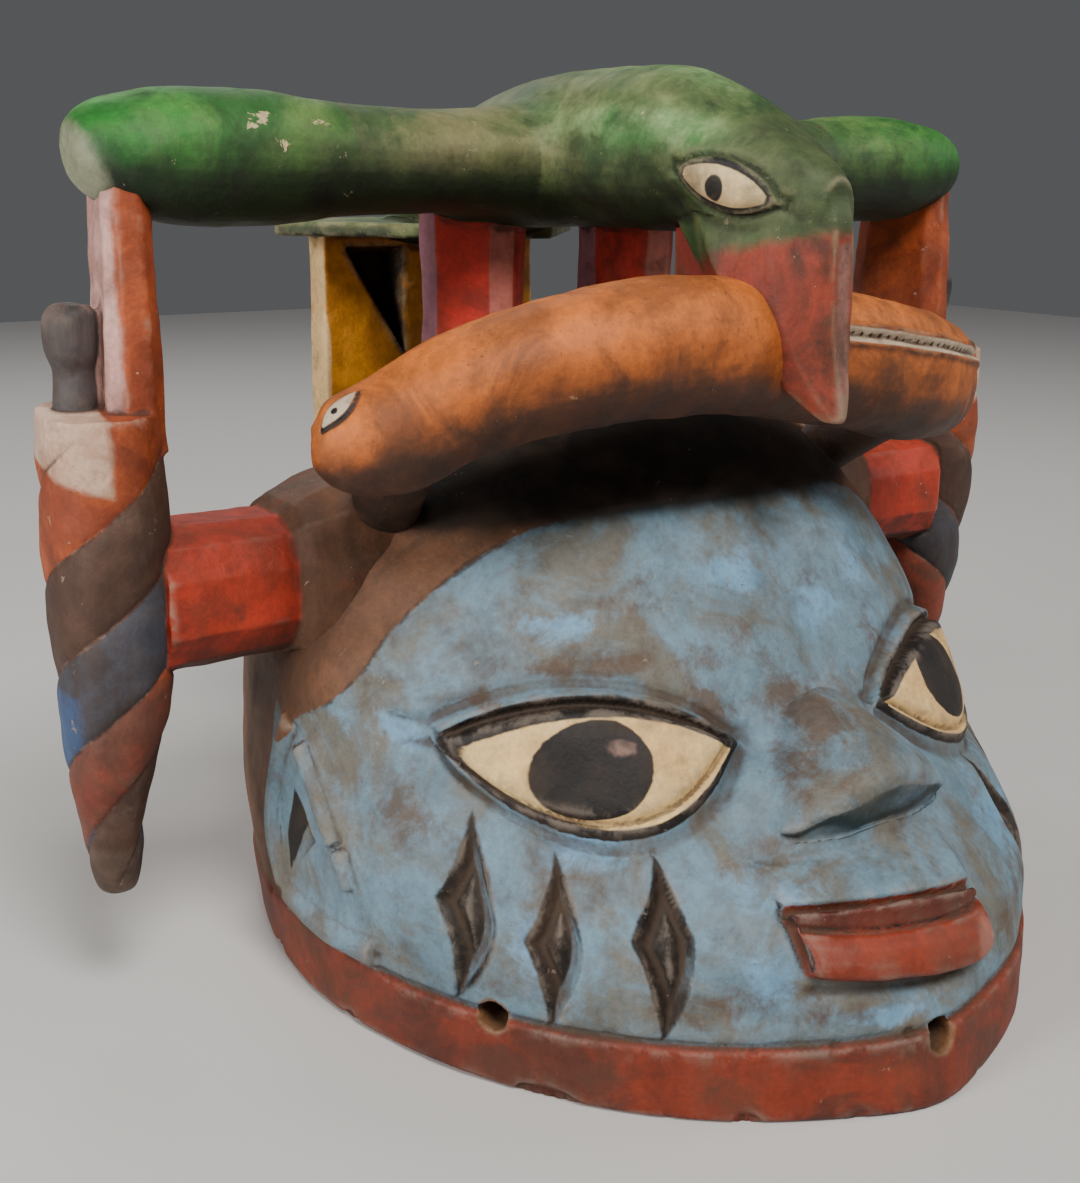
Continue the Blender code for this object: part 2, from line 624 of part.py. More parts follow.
def make_lash_hole(turn, height):
    angle = math.radians(turn)
    half, front, back, middle, square = head_section(height)
    reach = front if angle < 0 else back
    surface = Vector((half * math.cos(angle), reach * math.sin(angle), height))
    out = Vector((math.cos(angle) / half, math.sin(angle) / reach, 0)).normalized()
    path = [surface - out * 0.03, surface, surface + out * 0.02]
    return tube("lash hole", path, (LASH_HOLE_RADIUS * 0.8, LASH_HOLE_RADIUS, LASH_HOLE_RADIUS * 1.2), sides=8)


def paint(item):
    colour = bpy.data.materials.new("painted wood")
    colour.use_nodes = True
    shader = colour.node_tree.nodes["Principled BSDF"]
    shader.inputs["Base Color"].default_value = WOOD_COLOUR
    shader.inputs["Roughness"].default_value = WOOD_ROUGHNESS
    shader.inputs["Metallic"].default_value = 0.0
    item.data.materials.clear()
    item.data.materials.append(colour)


def build():
    clear_scene()
    mask = make_head()
    forms = make_nose() + make_mouth() + make_bird() + make_legs_and_board() + make_snake()
    for side in (-1, 1):
        forms += make_eye(side) + make_ear(side) + make_knife(side)
    for form in forms:
        combine(mask, form)
    for side in (-1, 1):
        for scar in SCARS:
            combine(mask, make_scar_cut(side, scar), "DIFFERENCE")
    combine(mask, make_cavity(), "DIFFERENCE")
    for turn, height in LASH_HOLES:
        combine(mask, make_lash_hole(turn, height), "DIFFERENCE")
    paint(mask)
    return mask


build()
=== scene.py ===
# Gelede helmet mask: carved forms, old paint and a studio view.
# The real mask is one block of wood. Here it is four pieces that run into one another, one for
# each run of paint: the head, the snake, the bird, and the knives with their boards and pegs.
import math
import bpy
import bmesh
import numpy as np
from mathutils import Matrix, Vector, noise
from mathutils.bvhtree import BVHTree


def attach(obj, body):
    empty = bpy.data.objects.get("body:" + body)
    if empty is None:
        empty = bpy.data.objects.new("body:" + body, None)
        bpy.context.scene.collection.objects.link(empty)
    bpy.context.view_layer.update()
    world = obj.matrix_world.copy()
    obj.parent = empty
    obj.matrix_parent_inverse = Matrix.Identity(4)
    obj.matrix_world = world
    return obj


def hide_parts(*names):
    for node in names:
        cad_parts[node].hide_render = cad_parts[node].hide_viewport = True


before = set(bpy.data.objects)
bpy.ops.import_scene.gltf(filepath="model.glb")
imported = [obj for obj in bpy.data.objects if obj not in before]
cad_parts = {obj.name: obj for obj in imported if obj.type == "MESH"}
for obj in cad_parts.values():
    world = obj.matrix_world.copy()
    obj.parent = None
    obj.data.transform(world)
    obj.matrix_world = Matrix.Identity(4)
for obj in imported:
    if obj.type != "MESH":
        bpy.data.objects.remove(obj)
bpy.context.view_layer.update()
coarse = 1.0


# shared carving tools

def smoothStep(value, low, high):
    share = np.clip((value - low) / (high - low), 0.0, 1.0)
    return share * share * (3.0 - 2.0 * share)


def denseRows(rows, between):
    # smooth rows through the few that are given
    rows = np.array(rows, dtype=float)
    dense = []
    for index in range(len(rows) - 1):
        before, start = rows[max(index - 1, 0)], rows[index]
        end, after = rows[index + 1], rows[min(index + 2, len(rows) - 1)]
        for step in range(between):
            t = step / between
            dense.append(0.5 * (2 * start + (end - before) * t + (2 * before - 5 * start + 4 * end - after) * t * t
                                + (3 * start - before - 3 * end + after) * t ** 3))
    dense.append(rows[-1])
    return [list(row) for row in dense]


def ovalRing(centre, across, up, square, count, turn=0.0):
    points = []
    for step in range(count):
        angle = turn + 2.0 * math.pi * step / count
        c, s = math.cos(angle), math.sin(angle)
        points.append(Vector(centre) + Vector(across) * math.copysign(abs(c) ** (2.0 / square), c)
                      + Vector(up) * math.copysign(abs(s) ** (2.0 / square), s))
    return points


def ringForm(rings):
    # circles moved onto the sections, bridged one to the next, ends filled
    bm = bmesh.new()
    loops = []
    for points in rings:
        circle = bmesh.ops.create_circle(bm, cap_ends=False, segments=len(points), radius=0.01)["verts"]
        for vert, point in zip(circle, points):
            vert.co = point
        loops.append(list({edge for vert in circle for edge in vert.link_edges}))
    for lower, upper in zip(loops, loops[1:]):
        bmesh.ops.bridge_loops(bm, edges=lower + upper)
    ends = bmesh.ops.holes_fill(bm, edges=loops[0] + loops[-1], sides=0)["faces"]
    bmesh.ops.triangulate(bm, faces=ends)
    bmesh.ops.recalc_face_normals(bm, faces=bm.faces)
    return bm


def hullForm(points, rounding=0.0):
    bm = bmesh.new()
    for point in points:
        bm.verts.new(point)
    inside = bmesh.ops.convex_hull(bm, input=bm.verts)["geom_interior"]
    bmesh.ops.delete(bm, geom=[item for item in inside if isinstance(item, bmesh.types.BMVert)], context="VERTS")
    bmesh.ops.dissolve_limit(bm, angle_limit=0.05, verts=bm.verts, edges=bm.edges)
    if rounding:
        bmesh.ops.bevel(bm, geom=list(bm.edges), offset=rounding, affect="EDGES", segments=2, profile=0.5,
                        material=-1)
    bmesh.ops.recalc_face_normals(bm, faces=bm.faces)
    return bm


def evaluated(item):
    graph = bpy.context.evaluated_depsgraph_get()
    return bpy.data.meshes.new_from_object(item.evaluated_get(graph))


def cutForm(form, cutter):
    # one form with another taken out of it
    items = []
    for bm in (form, cutter):
        mesh = bpy.data.meshes.new("form")
        bm.to_mesh(mesh)
        item = bpy.data.objects.new("form", mesh)
        bpy.context.scene.collection.objects.link(item)
        items.append(item)
    cut = items[0].modifiers.new("cut", "BOOLEAN")
    cut.operation, cut.solver, cut.object = "DIFFERENCE", "EXACT", items[1]
    result = bmesh.new()
    result.from_mesh(evaluated(items[0]))
    for item in items:
        bpy.data.objects.remove(item, do_unlink=True)
    return result


def meshArrays(mesh):
    count = len(mesh.vertices)
    place, normal = np.empty(count * 3), np.empty(count * 3)
    mesh.vertices.foreach_get("co", place)
    mesh.vertices.foreach_get("normal", normal)
    return place.reshape(-1, 3), normal.reshape(-1, 3)


def relaxed(place, pairs, rounds):
    degree = np.maximum(np.bincount(pairs.ravel(), minlength=len(place)), 1)[:, None]
    for _ in range(rounds):
        total = np.empty_like(place)
        for axis in range(3):
            column = place[:, axis]
            total[:, axis] = (np.bincount(pairs[:, 0], weights=column[pairs[:, 1]], minlength=len(place))
                              + np.bincount(pairs[:, 1], weights=column[pairs[:, 0]], minlength=len(place)))
        place = 0.35 * place + 0.65 * total / degree
    return place


def filleted(place, normal, pairs, rounds, share, times=1):
    # wood left in the inner corners, as a gouge leaves it
    for _ in range(times):
        fill = np.maximum(((relaxed(place, pairs, rounds) - place) * normal).sum(axis=1), 0.0) * share
        place = place + normal * fill[:, None]
    return place


def filletedNear(place, normal, pairs, share, rounds, times):
    # the same over a wider reach, worked only where the share says
    chosen = np.flatnonzero(share > 0.0)
    number = np.full(len(place), -1)
    number[chosen] = np.arange(len(chosen))
    inner = number[pairs]
    inner = inner[(inner >= 0).all(axis=1)]
    place = place.copy()
    for _ in range(times):
        near = filleted(place[chosen], normal[chosen], inner, rounds, share[chosen])
        place[chosen] = near + (relaxed(near, inner, 14) - near) * share[chosen][:, None]
    return place


def spots(x, z, rows):
    # soft patches at listed places, each x, z, half length, half height and strength
    total = np.zeros(len(x))
    for middleX, middleZ, long, tall, strength in rows:
        total = np.maximum(total, strength * np.exp(-((x - middleX) / long) ** 2 - ((z - middleZ) / tall) ** 2))
    return total


def unevenness(place, size, amount, seed):
    # hand-carved waviness along the normals, in metres
    shift = Vector((seed * 7.3, seed * 3.1, seed * 5.7))
    return amount * np.array([noise.noise(Vector(point) / size + shift) for point in place])


def distanceTo(tree, place):
    # millimetres to a form
    return np.array([tree.find_nearest(Vector(point))[3] for point in place]) * 1000.0


def fuse(name, forms, settings, sculpt, paint):
    # one skin round all forms, then relief, then paint fields, then fewer faces
    joined, trees = bmesh.new(), {}
    labels = []
    for label, form in forms:
        if label not in labels:
            labels.append(label)
    for label in labels:
        group = bmesh.new()
        for formLabel, form in forms:
            if formLabel == label:
                piece = bpy.data.meshes.new("form")
                form.to_mesh(piece)
                group.from_mesh(piece)
                joined.from_mesh(piece)
                bpy.data.meshes.remove(piece)
        trees[label] = BVHTree.FromBMesh(group)
        group.free()
    rough = bpy.data.meshes.new(name)
    joined.to_mesh(rough)
    joined.free()
    item = bpy.data.objects.new(name, rough)
    bpy.context.scene.collection.objects.link(item)
    skin = item.modifiers.new("skin", "REMESH")
    skin.mode, skin.voxel_size, skin.adaptivity = "VOXEL", settings["voxel"] * coarse, 0.0
    skin.use_smooth_shade = True
    soft = item.modifiers.new("soft", "SMOOTH")
    soft.factor, soft.iterations = 0.5, settings["softening"]
    mesh = evaluated(item)
    item.modifiers.clear()

    place, normal = meshArrays(mesh)
    pairs = np.empty(len(mesh.edges) * 2, dtype=np.int64)
    mesh.edges.foreach_get("vertices", pairs)
    pairs = pairs.reshape(-1, 2)
    place = sculpt(place, normal, trees, pairs)
    place[:, 2] = np.maximum(place[:, 2], 0.0)
    mesh.vertices.foreach_set("co", place.ravel())
    mesh.update()
    place, normal = meshArrays(mesh)
    relief = ((place - relaxed(place, pairs, 10)) * normal).sum(axis=1) * 1000.0
    broad = ((place - relaxed(place, pairs, 60)) * normal).sum(axis=1) * 1000.0
    fields = paint(place, normal, trees)
    fields["edge"] = smoothStep(relief, 0.05, 0.45)
    # hollows, darkened in the paint as settled dirt and painted shade
    fields["hollow"] = np.maximum(smoothStep(-relief, 0.04, 0.30), smoothStep(-broad, 0.15, 1.2))
    fields["hollow"] *= fields.pop("openness", 1.0)
    for field, values in fields.items():
        layer = mesh.attributes.new(field, "FLOAT", "POINT")
        layer.data.foreach_set("value", np.clip(values, -6.0, 6.0).astype(np.float32))

    item.data = mesh
    triangles = sum(len(face.vertices) - 2 for face in mesh.polygons)
    if triangles > settings["triangles"]:
        fewer = item.modifiers.new("fewer", "DECIMATE")
        fewer.ratio = settings["triangles"] / triangles
        item.data = evaluated(item)
        item.modifiers.clear()
    item.data.shade_smooth()
    item.data.name = name
    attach(item, "root")
    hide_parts("gelede_mask")
    print(name, "carved from", triangles, "triangles")
    return item


# head

headSettings = {
    # height, half width, front, back, y of the widest line, squareness
    "levels": (
        (0.000, 0.1135, 0.1375, 0.1415, 0.000, 1.88),
        (0.021, 0.1150, 0.1350, 0.1415, 0.001, 1.94),
        (0.040, 0.1167, 0.1295, 0.1412, 0.002, 2.00),
        (0.055, 0.1170, 0.1165, 0.1400, 0.005, 1.97),
        (0.070, 0.1162, 0.0985, 0.1375, 0.008, 1.95),
        (0.085, 0.1148, 0.0820, 0.1342, 0.011, 1.95),
        (0.100, 0.1120, 0.0737, 0.1290, 0.014, 1.98),
        (0.115, 0.1050, 0.0637, 0.1222, 0.0175, 2.00),
        (0.130, 0.0970, 0.0541, 0.1142, 0.021, 2.00),
        (0.145, 0.0828, 0.0411, 0.0989, 0.021, 2.00),
        (0.158, 0.0640, 0.0263, 0.0792, 0.021, 2.00),
        (0.168, 0.0420, 0.0092, 0.0575, 0.020, 2.00),
        (0.174, 0.0150, -0.010, 0.0340, 0.020, 2.00),
    ),
    "wall": 0.016, "crownWall": 0.026, "top": 0.1755,
    "rimHeight": 0.021, "rimStep": 0.0010, "rimRound": 0.0022,
    "mouthX": -0.0105, "muzzle": 0.0050, "muzzleHalf": 0.032, "muzzleHeight": 0.050, "muzzleSpread": 0.0165,
    "chinX": -0.0080, "chin": 0.0040, "chinSpread": 0.020, "chinTop": 0.040,
    # degrees round the rim and height
    "lashHoles": ((-92.3, 0.0180), (-149, 0.0208), (-31, 0.0200), (45, 0.0190), (90, 0.0180), (135, 0.0190)),
    "lashRadius": 0.0041,
    "nose": ((0.0040, -0.0815, 0.0985), (0.0100, -0.0800, 0.0930), (0.0065, -0.1150, 0.0810),
             (0.0200, -0.1125, 0.0765), (0.0310, -0.1060, 0.0700), (0.0325, -0.1010, 0.0670),
             (0.0240, -0.1040, 0.0640), (0.0100, -0.1090, 0.0660), (0.0250, -0.0950, 0.0780),
             (0.0200, -0.0800, 0.0650)),
    "mouthHalf": 0.0290, "mouthLine": 0.0458, "mouthSlope": -0.07, "lipGap": 0.0004,
    "lineLift": 0.0034,    # the lips stand out along a face that leans back, which lifts the line between them
    # sign from the mouth line, heights at near end, middle and far end, then the lip's section:
    # share of its height from the mouth line and how far it stands out
    "lips": (
        (-1, (0.0074, 0.0104, 0.0100),
         ((0.0, 0.0044), (0.22, 0.0058), (0.55, 0.0063), (0.85, 0.0054), (1.0, 0.0032))),
        (1, (0.0040, 0.0050, 0.0040),
         ((0.0, 0.0052), (0.30, 0.0040), (0.70, 0.0047), (0.90, 0.0058), (1.0, 0.0044))),
    ),
    # patches on the face: x, z, half length, half height, strength
    # brown patches of dirt, with painted shade under the snake at the top of the forehead
    "grimeAndShade": (
        (-0.0610, 0.1055, 0.0300, 0.0040, 0.75), (-0.0850, 0.0975, 0.0120, 0.0060, 0.55),
        (-0.0300, 0.0930, 0.0130, 0.0090, 0.80), (-0.0180, 0.0800, 0.0110, 0.0100, 0.55),
        (-0.0300, 0.0640, 0.0100, 0.0070, 0.70), (-0.0080, 0.0930, 0.0120, 0.0080, 0.75),
        (-0.0560, 0.0330, 0.0200, 0.0070, 0.65), (-0.0900, 0.0300, 0.0140, 0.0060, 0.55),
        (-0.0300, 0.0290, 0.0200, 0.0060, 0.60), (-0.0450, 0.1200, 0.0160, 0.0100, 0.55),
        (-0.0800, 0.0600, 0.0120, 0.0090, 0.50), (-0.0200, 0.1060, 0.0180, 0.0070, 0.60),
        (0.0100, 0.1180, 0.0160, 0.0080, 0.50), (0.0450, 0.1000, 0.0160, 0.0090, 0.55),
        (0.0500, 0.0350, 0.0300, 0.0090, 0.60), (0.0850, 0.0600, 0.0120, 0.0100, 0.50),
        (-0.1050, 0.0700, 0.0060, 0.0160, 0.60), (0.1050, 0.0700, 0.0060, 0.0160, 0.60),
    ),
    "bright": (
        (-0.0100, 0.1240, 0.0150, 0.0060, 1.0), (0.0180, 0.1120, 0.0120, 0.0070, 1.0),
        (-0.0620, 0.1150, 0.0140, 0.0050, 0.8), (-0.0700, 0.0650, 0.0180, 0.0070, 0.7),
        (-0.0450, 0.0550, 0.0140, 0.0090, 0.7), (-0.0900, 0.0420, 0.0060, 0.0130, 0.8),
        (-0.0480, 0.0400, 0.0070, 0.0090, 0.8), (-0.0160, 0.0270, 0.0180, 0.0030, 0.8),
        (0.0100, 0.0700, 0.0080, 0.0050, 0.9), (-0.1010, 0.0880, 0.0060, 0.0060, 0.8),
        (0.0600, 0.0500, 0.0200, 0.0120, 0.7), (0.0400, 0.1200, 0.0120, 0.0080, 0.7),
    ),
    "sides": 168, "voxel": 0.00092, "softening": 2, "triangles": 196000,
}
eye = {"outerX": 0.0965, "innerX": 0.0262, "outerZ": 0.0885, "innerZ": 0.0845, "rise": 0.0137, "drop": 0.0200,
       "skew": 0.72, "bulge": 0.0078,
       "pupils": ((-1, 0.0690, 0.0838), (1, 0.0620, 0.0862)), "pupilWide": 0.0134, "pupilTall": 0.0118,
       "pupilLean": 0.36}
# cheek scars as lozenges: top, temple side, bottom and nose side, each x and z
scars = (
    ((0.0938, 0.0700), (0.1044, 0.0499), (0.1022, 0.0222), (0.0966, 0.0462)),
    ((0.0813, 0.0636), (0.0926, 0.0440), (0.0887, 0.0209), (0.0830, 0.0450)),
    ((0.0608, 0.0640), (0.0736, 0.0470), (0.0701, 0.0216), (0.0610, 0.0476)),
)
earBars = {
    "rim": (((0.006, 0.083), (0.013, 0.066), (0.016, 0.048), (0.012, 0.030)), 0.0042),
    "fold": (((0.000, 0.077), (-0.010, 0.065), (-0.018, 0.054)), 0.0036),
    "tragus": (((-0.0205, 0.053), (-0.0235, 0.047), (-0.0245, 0.043)), 0.0036),
    "lobe": (((0.010, 0.029), (-0.006, 0.0265), (-0.020, 0.0260), (-0.033, 0.0262)), 0.0052),
}
levelTable = np.array(denseRows(headSettings["levels"], 16))


def headSection(height):
    return [np.interp(height, levelTable[:, 0], levelTable[:, column]) for column in range(1, 6)]


def muzzle(x, height):
    # the face swells round the mouth and comes to a blunt point at the chin
    s = headSettings
    swell = s["muzzle"] * np.exp(-(np.abs(x - s["mouthX"]) / s["muzzleHalf"]) ** 4)
    chin = s["chin"] * np.exp(-((x - s["chinX"]) / s["chinSpread"]) ** 2)
    return (swell * np.exp(-((height - s["muzzleHeight"]) / s["muzzleSpread"]) ** 2)
            + chin * np.maximum(1.0 - (height / s["chinTop"]) ** 2, 0.0))


def headRing(height, grow, count):
    half, front, back, middle, square = [float(value) for value in headSection(height)]
    points = []
    for step in range(count):
        angle = 2.0 * math.pi * step / count
        c, s = math.cos(angle), math.sin(angle)
        x = (half + grow) * math.copysign(abs(c) ** (2.0 / square), c)
        reach = (front + middle if s < 0 else back - middle) + grow
        y = middle + reach * math.copysign(abs(s) ** (2.0 / square), s)
        if s < 0 and grow > -0.008:
            y -= float(muzzle(x, height))
        points.append(Vector((x, y, height)))
    return points


def faceSkin(x, height, proud=0.0):
    half, front, _, middle, square = headSection(height)
    share = max(1.0 - (abs(x) / half) ** square, 0.0) ** (1.0 / square)
    point = Vector((x, float(middle - (front + middle) * share - muzzle(x, height)), height))
    if proud == 0.0:
        return point
    step = 0.0008
    along = faceSkin(x + step, height) - faceSkin(x - step, height)
    up = faceSkin(x, height + step) - faceSkin(x, height - step)
    return point + along.cross(up).normalized() * float(proud)


def sideSkin(side, y, height, proud=0.0):
    half, front, back, middle, square = headSection(height)
    reach = (front + middle) if y < middle else (back - middle)
    share = max(1.0 - (abs(y - middle) / reach) ** square, 0.0) ** (1.0 / square)
    return Vector((side * (float(half * share) + proud), y, height))


def lashAxes():
    axes = []
    for turn, height in headSettings["lashHoles"]:
        angle = math.radians(turn)
        half, front, back = [float(value) for value in headSection(height)[:3]]
        reach = front if angle < 0 else back
        axes.append((Vector((half * math.cos(angle), reach * math.sin(angle), height)),
                     Vector((math.cos(angle) / half, math.sin(angle) / reach, 0.0)).normalized()))
    return axes


def headForms():
    s = headSettings
    rings = [headRing(z, 0.0, s["sides"]) for z in np.linspace(0.1737, s["rimHeight"] + 0.0002, 84)]
    for height, grow in ((s["rimHeight"] - 0.0004, s["rimStep"]), (s["rimRound"], s["rimStep"]),
                         (0.0006, 0.4 * s["rimStep"]), (0.0, s["rimStep"] - s["rimRound"])):
        rings.append(headRing(height, grow, s["sides"]))
    hollowTop = s["top"] - s["crownWall"]
    for height in np.linspace(0.0, 0.98 * hollowTop, 26):
        thinner = s["wall"] + (s["crownWall"] - s["wall"]) * (height / hollowTop) ** 2
        rings.append(headRing(height, -thinner, s["sides"]))
    holes = bmesh.new()
    for start, out in lashAxes():
        bmesh.ops.create_cone(holes, cap_ends=True, segments=24, radius1=s["lashRadius"] * 0.85,
                              radius2=s["lashRadius"] * 1.15, depth=0.05,
                              matrix=Matrix.Translation(start) @ out.to_track_quat("Z", "Y").to_matrix().to_4x4())
    forms = [("head", cutForm(ringForm(rings), holes))]
    nose = [Vector((side * x, y, z)) for side in (-1, 1) for x, y, z in s["nose"]]
    forms.append(("nose", hullForm(nose, 0.0022)))
    for sign, (near, whole, far), section in s["lips"]:
        rings = []
        for share in np.linspace(-1.0, 1.0, 33):
            x = s["mouthX"] + share * s["mouthHalf"]
            tall = (0.5 * near * share * (share - 1.0) + whole * (1.0 - share * share)
                    + 0.5 * far * share * (share + 1.0))
            tall *= math.sqrt(1.0 - 0.80 * max((share - 0.86) / 0.14, 0.0) ** 2)
            line = s["mouthLine"] + s["mouthSlope"] * (x - s["mouthX"]) + sign * 0.5 * s["lipGap"]
            ease = (1.0 - 0.30 * abs(share) ** 3) * (1.0 - 0.35 * max((share - 0.86) / 0.14, 0.0) ** 2)
            rings.append([faceSkin(x, line + sign * across * tall, proud * ease) for across, proud in section]
                         + [faceSkin(x, line + sign * tall, -0.006), faceSkin(x, line, -0.006)])
        forms.append(("lips", ringForm(rings)))
    for side in (-1, 1):
        for points, half in earBars.values():
            rings = []
            dense = denseRows(points, 6)
            for index, (y, z) in enumerate(dense):
                before, after = dense[max(index - 1, 0)], dense[min(index + 1, len(dense) - 1)]
                run = Vector((0, after[0] - before[0], after[1] - before[1])).normalized()
                across = Vector((0, -run.z, run.y)) * half
                surface, out = sideSkin(side, y, z), Vector((side, 0, 0))
                rings.append([surface - across - out * 0.005, surface + across - out * 0.005,
                              surface + across * 0.85 + out * 0.0020, surface + across * 0.3 + out * 0.0035,
                              surface - across * 0.3 + out * 0.0035, surface - across * 0.85 + out * 0.0020])
            forms.append(("ear", ringForm(rings)))
    return forms


def eyeFields(x, z):
    # millimetres inside the almond of the lids and inside the white of the eye, and the eyeball's swell
    share = np.clip((eye["outerX"] - x) / (eye["outerX"] - eye["innerX"]), 0.0, 1.0)
    line = eye["outerZ"] + (eye["innerZ"] - eye["outerZ"]) * share
    bowUp = (1.0 - (2.0 * share - 1.0) ** 2) ** 0.8
    bowLow = 1.0 - (2.0 * share ** eye["skew"] - 1.0) ** 2
    upper, lower = line + eye["rise"] * bowUp, line - eye["drop"] * bowLow
    ends = np.minimum(eye["outerX"] - x, x - eye["innerX"])
    almond = np.minimum(np.minimum(upper - z, z - lower), ends * 0.7) * 1000.0
    tips = np.minimum(eye["outerX"] - 0.0034 - x, x - eye["innerX"] - 0.0026)
    white = np.minimum(np.minimum(upper - 0.0044 - z, z - lower - 0.0034), tips * 0.45) * 1000.0
    lift = np.where(z > line, (z - line) / np.maximum(upper - line, 1e-4),
                    (line - z) / np.maximum(line - lower, 1e-4))
    swell = np.clip(1.0 - lift ** 2, 0.0, 1.0) ** 0.65 * np.minimum(bowUp, 1.0) ** 0.7
    return almond, white, swell


def mouthField(x, z):
    # millimetres inside the outline of both lips
    s = headSettings
    along = x - s["mouthX"]
    share = np.clip(along / s["mouthHalf"], -1.0, 1.0)
    line = s["mouthLine"] + s["lineLift"] + s["mouthSlope"] * along
    low, high = [0.5 * near * share * (share - 1.0) + whole * (1.0 - share ** 2) + 0.5 * far * share * (share + 1.0)
                 for _, (near, whole, far), _ in s["lips"]]
    return np.min([line + high - z, z - line + low, s["mouthHalf"] - np.abs(along)], axis=0) * 1000.0


def lozengeField(x, z, corners):
    depth = np.full(len(x), 1.0)
    middle = np.mean(corners, axis=0)
    for start, end in zip(corners, corners[1:] + corners[:1]):
        run = np.array(end) - np.array(start)
        side = np.array((-run[1], run[0])) / np.hypot(*run)
        if np.dot(middle - start, side) < 0:
            side = -side
        depth = np.minimum(depth, (x - start[0]) * side[0] + (z - start[1]) * side[1])
    return depth * 1000.0


def outerShare(place):
    # 1 on the outer skin of the head, 0 in the hollow
    half, front, back, middle, square = headSection(place[:, 2])
    reach = np.where(place[:, 1] < middle, front + middle, back - middle)
    across, along = np.abs(place[:, 0]) / half, np.abs(place[:, 1] - middle) / reach
    radial = (across ** square + along ** square) ** (1.0 / square)
    return np.where(place[:, 2] > 0.150, 1.0, smoothStep(radial, 0.90, 0.95))


def sculptHead(place, normal, trees, pairs):
    s = headSettings
    x, y, z = np.abs(place[:, 0]), place[:, 1], place[:, 2]
    outer = outerShare(place)
    noseNear, lipNear = distanceTo(trees["nose"], place), distanceTo(trees["lips"], place)
    share = outer * smoothStep(z, 0.026, 0.032) * smoothStep(lipNear, 1.5, 4.0)
    share = share * np.where(x > 0.100, 0.75, 1.0)
    place = filleted(place, normal, pairs, 45, share, 3)
    flank = smoothStep(12.0 - noseNear, 0.0, 6.0) * smoothStep(z, 0.068, 0.074)
    flank *= smoothStep(normal[:, 2], -0.45, -0.15) * smoothStep(0.060 - x, 0.0, 0.010)
    place = filletedNear(place, normal, pairs, flank, 170, 3)
    face = outer * smoothStep(-y, -0.005, 0.010) * smoothStep(-normal[:, 1] * 1.4 + np.abs(normal[:, 0]), 0.1, 0.4)
    almond, white, swell = eyeFields(x, z)
    push = eye["bulge"] * swell * smoothStep(white, -1.2, 0.4)
    push += 0.0028 * np.exp(-((almond - 1.6) / 1.5) ** 2) * smoothStep(0.0965 - x, 0.0, 0.004)   # lids
    push -= 0.0014 * np.exp(-((almond + 2.4) / 2.0) ** 2)                       # carved round the lids
    push -= 0.0016 * np.exp(-((white + 0.2) / 0.8) ** 2)                        # line where lid meets eyeball
    push *= smoothStep(noseNear, 0.3, 3.0)
    for corners in scars:
        depth = lozengeField(x, z, corners)
        push += np.interp(depth / depth.max(), (-0.22, 0.05, 0.36, 0.50, 1.0),
                          (0.0, -0.0002, -0.0028, -0.0028, -0.0004))
    along = place[:, 0] - s["mouthX"]
    mouth = smoothStep(s["mouthHalf"] + 0.002 - np.abs(along), -0.002, 0.004)
    line = s["mouthLine"] + s["lineLift"] + s["mouthSlope"] * along
    ramp = np.clip((0.0615 - z) / 0.0070, 0.0, 1.0) * smoothStep(z, line + 0.001, line + 0.003)
    push += mouth * 0.0027 * ramp * smoothStep(lipNear, 0.7, 2.6)               # ledge over the upper lip
    push -= mouth * 0.0007 * np.exp(-((z - 0.0622) / 0.0009) ** 2)
    push -= mouth * 0.0020 * np.exp(-((z - line + 0.0156) / 0.0026) ** 2)       # undercut of the lower lip
    push -= mouth * 0.0016 * np.exp(-((z - line) / 0.0007) ** 2)                # line between the lips
    corner = np.exp(-((along + s["mouthHalf"] + 0.0008) / 0.0010) ** 2 - ((z - line + 0.003) / 0.0080) ** 6)
    push -= 0.0008 * corner
    push -= 0.0013 * np.exp(-((z - s["rimHeight"] - 0.0006) / 0.0011) ** 2)     # line over the rim band
    hollow = lozengeField(y, z, ((0.0030, 0.0660), (0.0075, 0.0450), (0.0065, 0.0340), (-0.0080, 0.0510)))
    push -= 0.0022 * smoothStep(hollow, -0.3, 1.5) * smoothStep(x, 0.108, 0.112)
    place = place + normal * (push * face)[:, None]
    grain = unevenness(place, 0.022, 0.00060, 1) + unevenness(place, 0.0085, 0.00030, 2)
    grain *= np.where(z < 0.002, 0.0, 1.0)
    chips = smoothStep(unevenness(place, 0.012, 1.0, 5), 0.22, 0.50) * smoothStep(0.006 - z, 0.0, 0.005)
    notches = smoothStep(unevenness(place, 0.006, 1.0, 6), 0.36, 0.52) * np.exp(-((z - s["rimHeight"]) / 0.0022) ** 2)
    grain -= (0.0016 * chips + 0.0008 * notches) * outer * (z > 0.0005)
    return place + normal * grain[:, None]


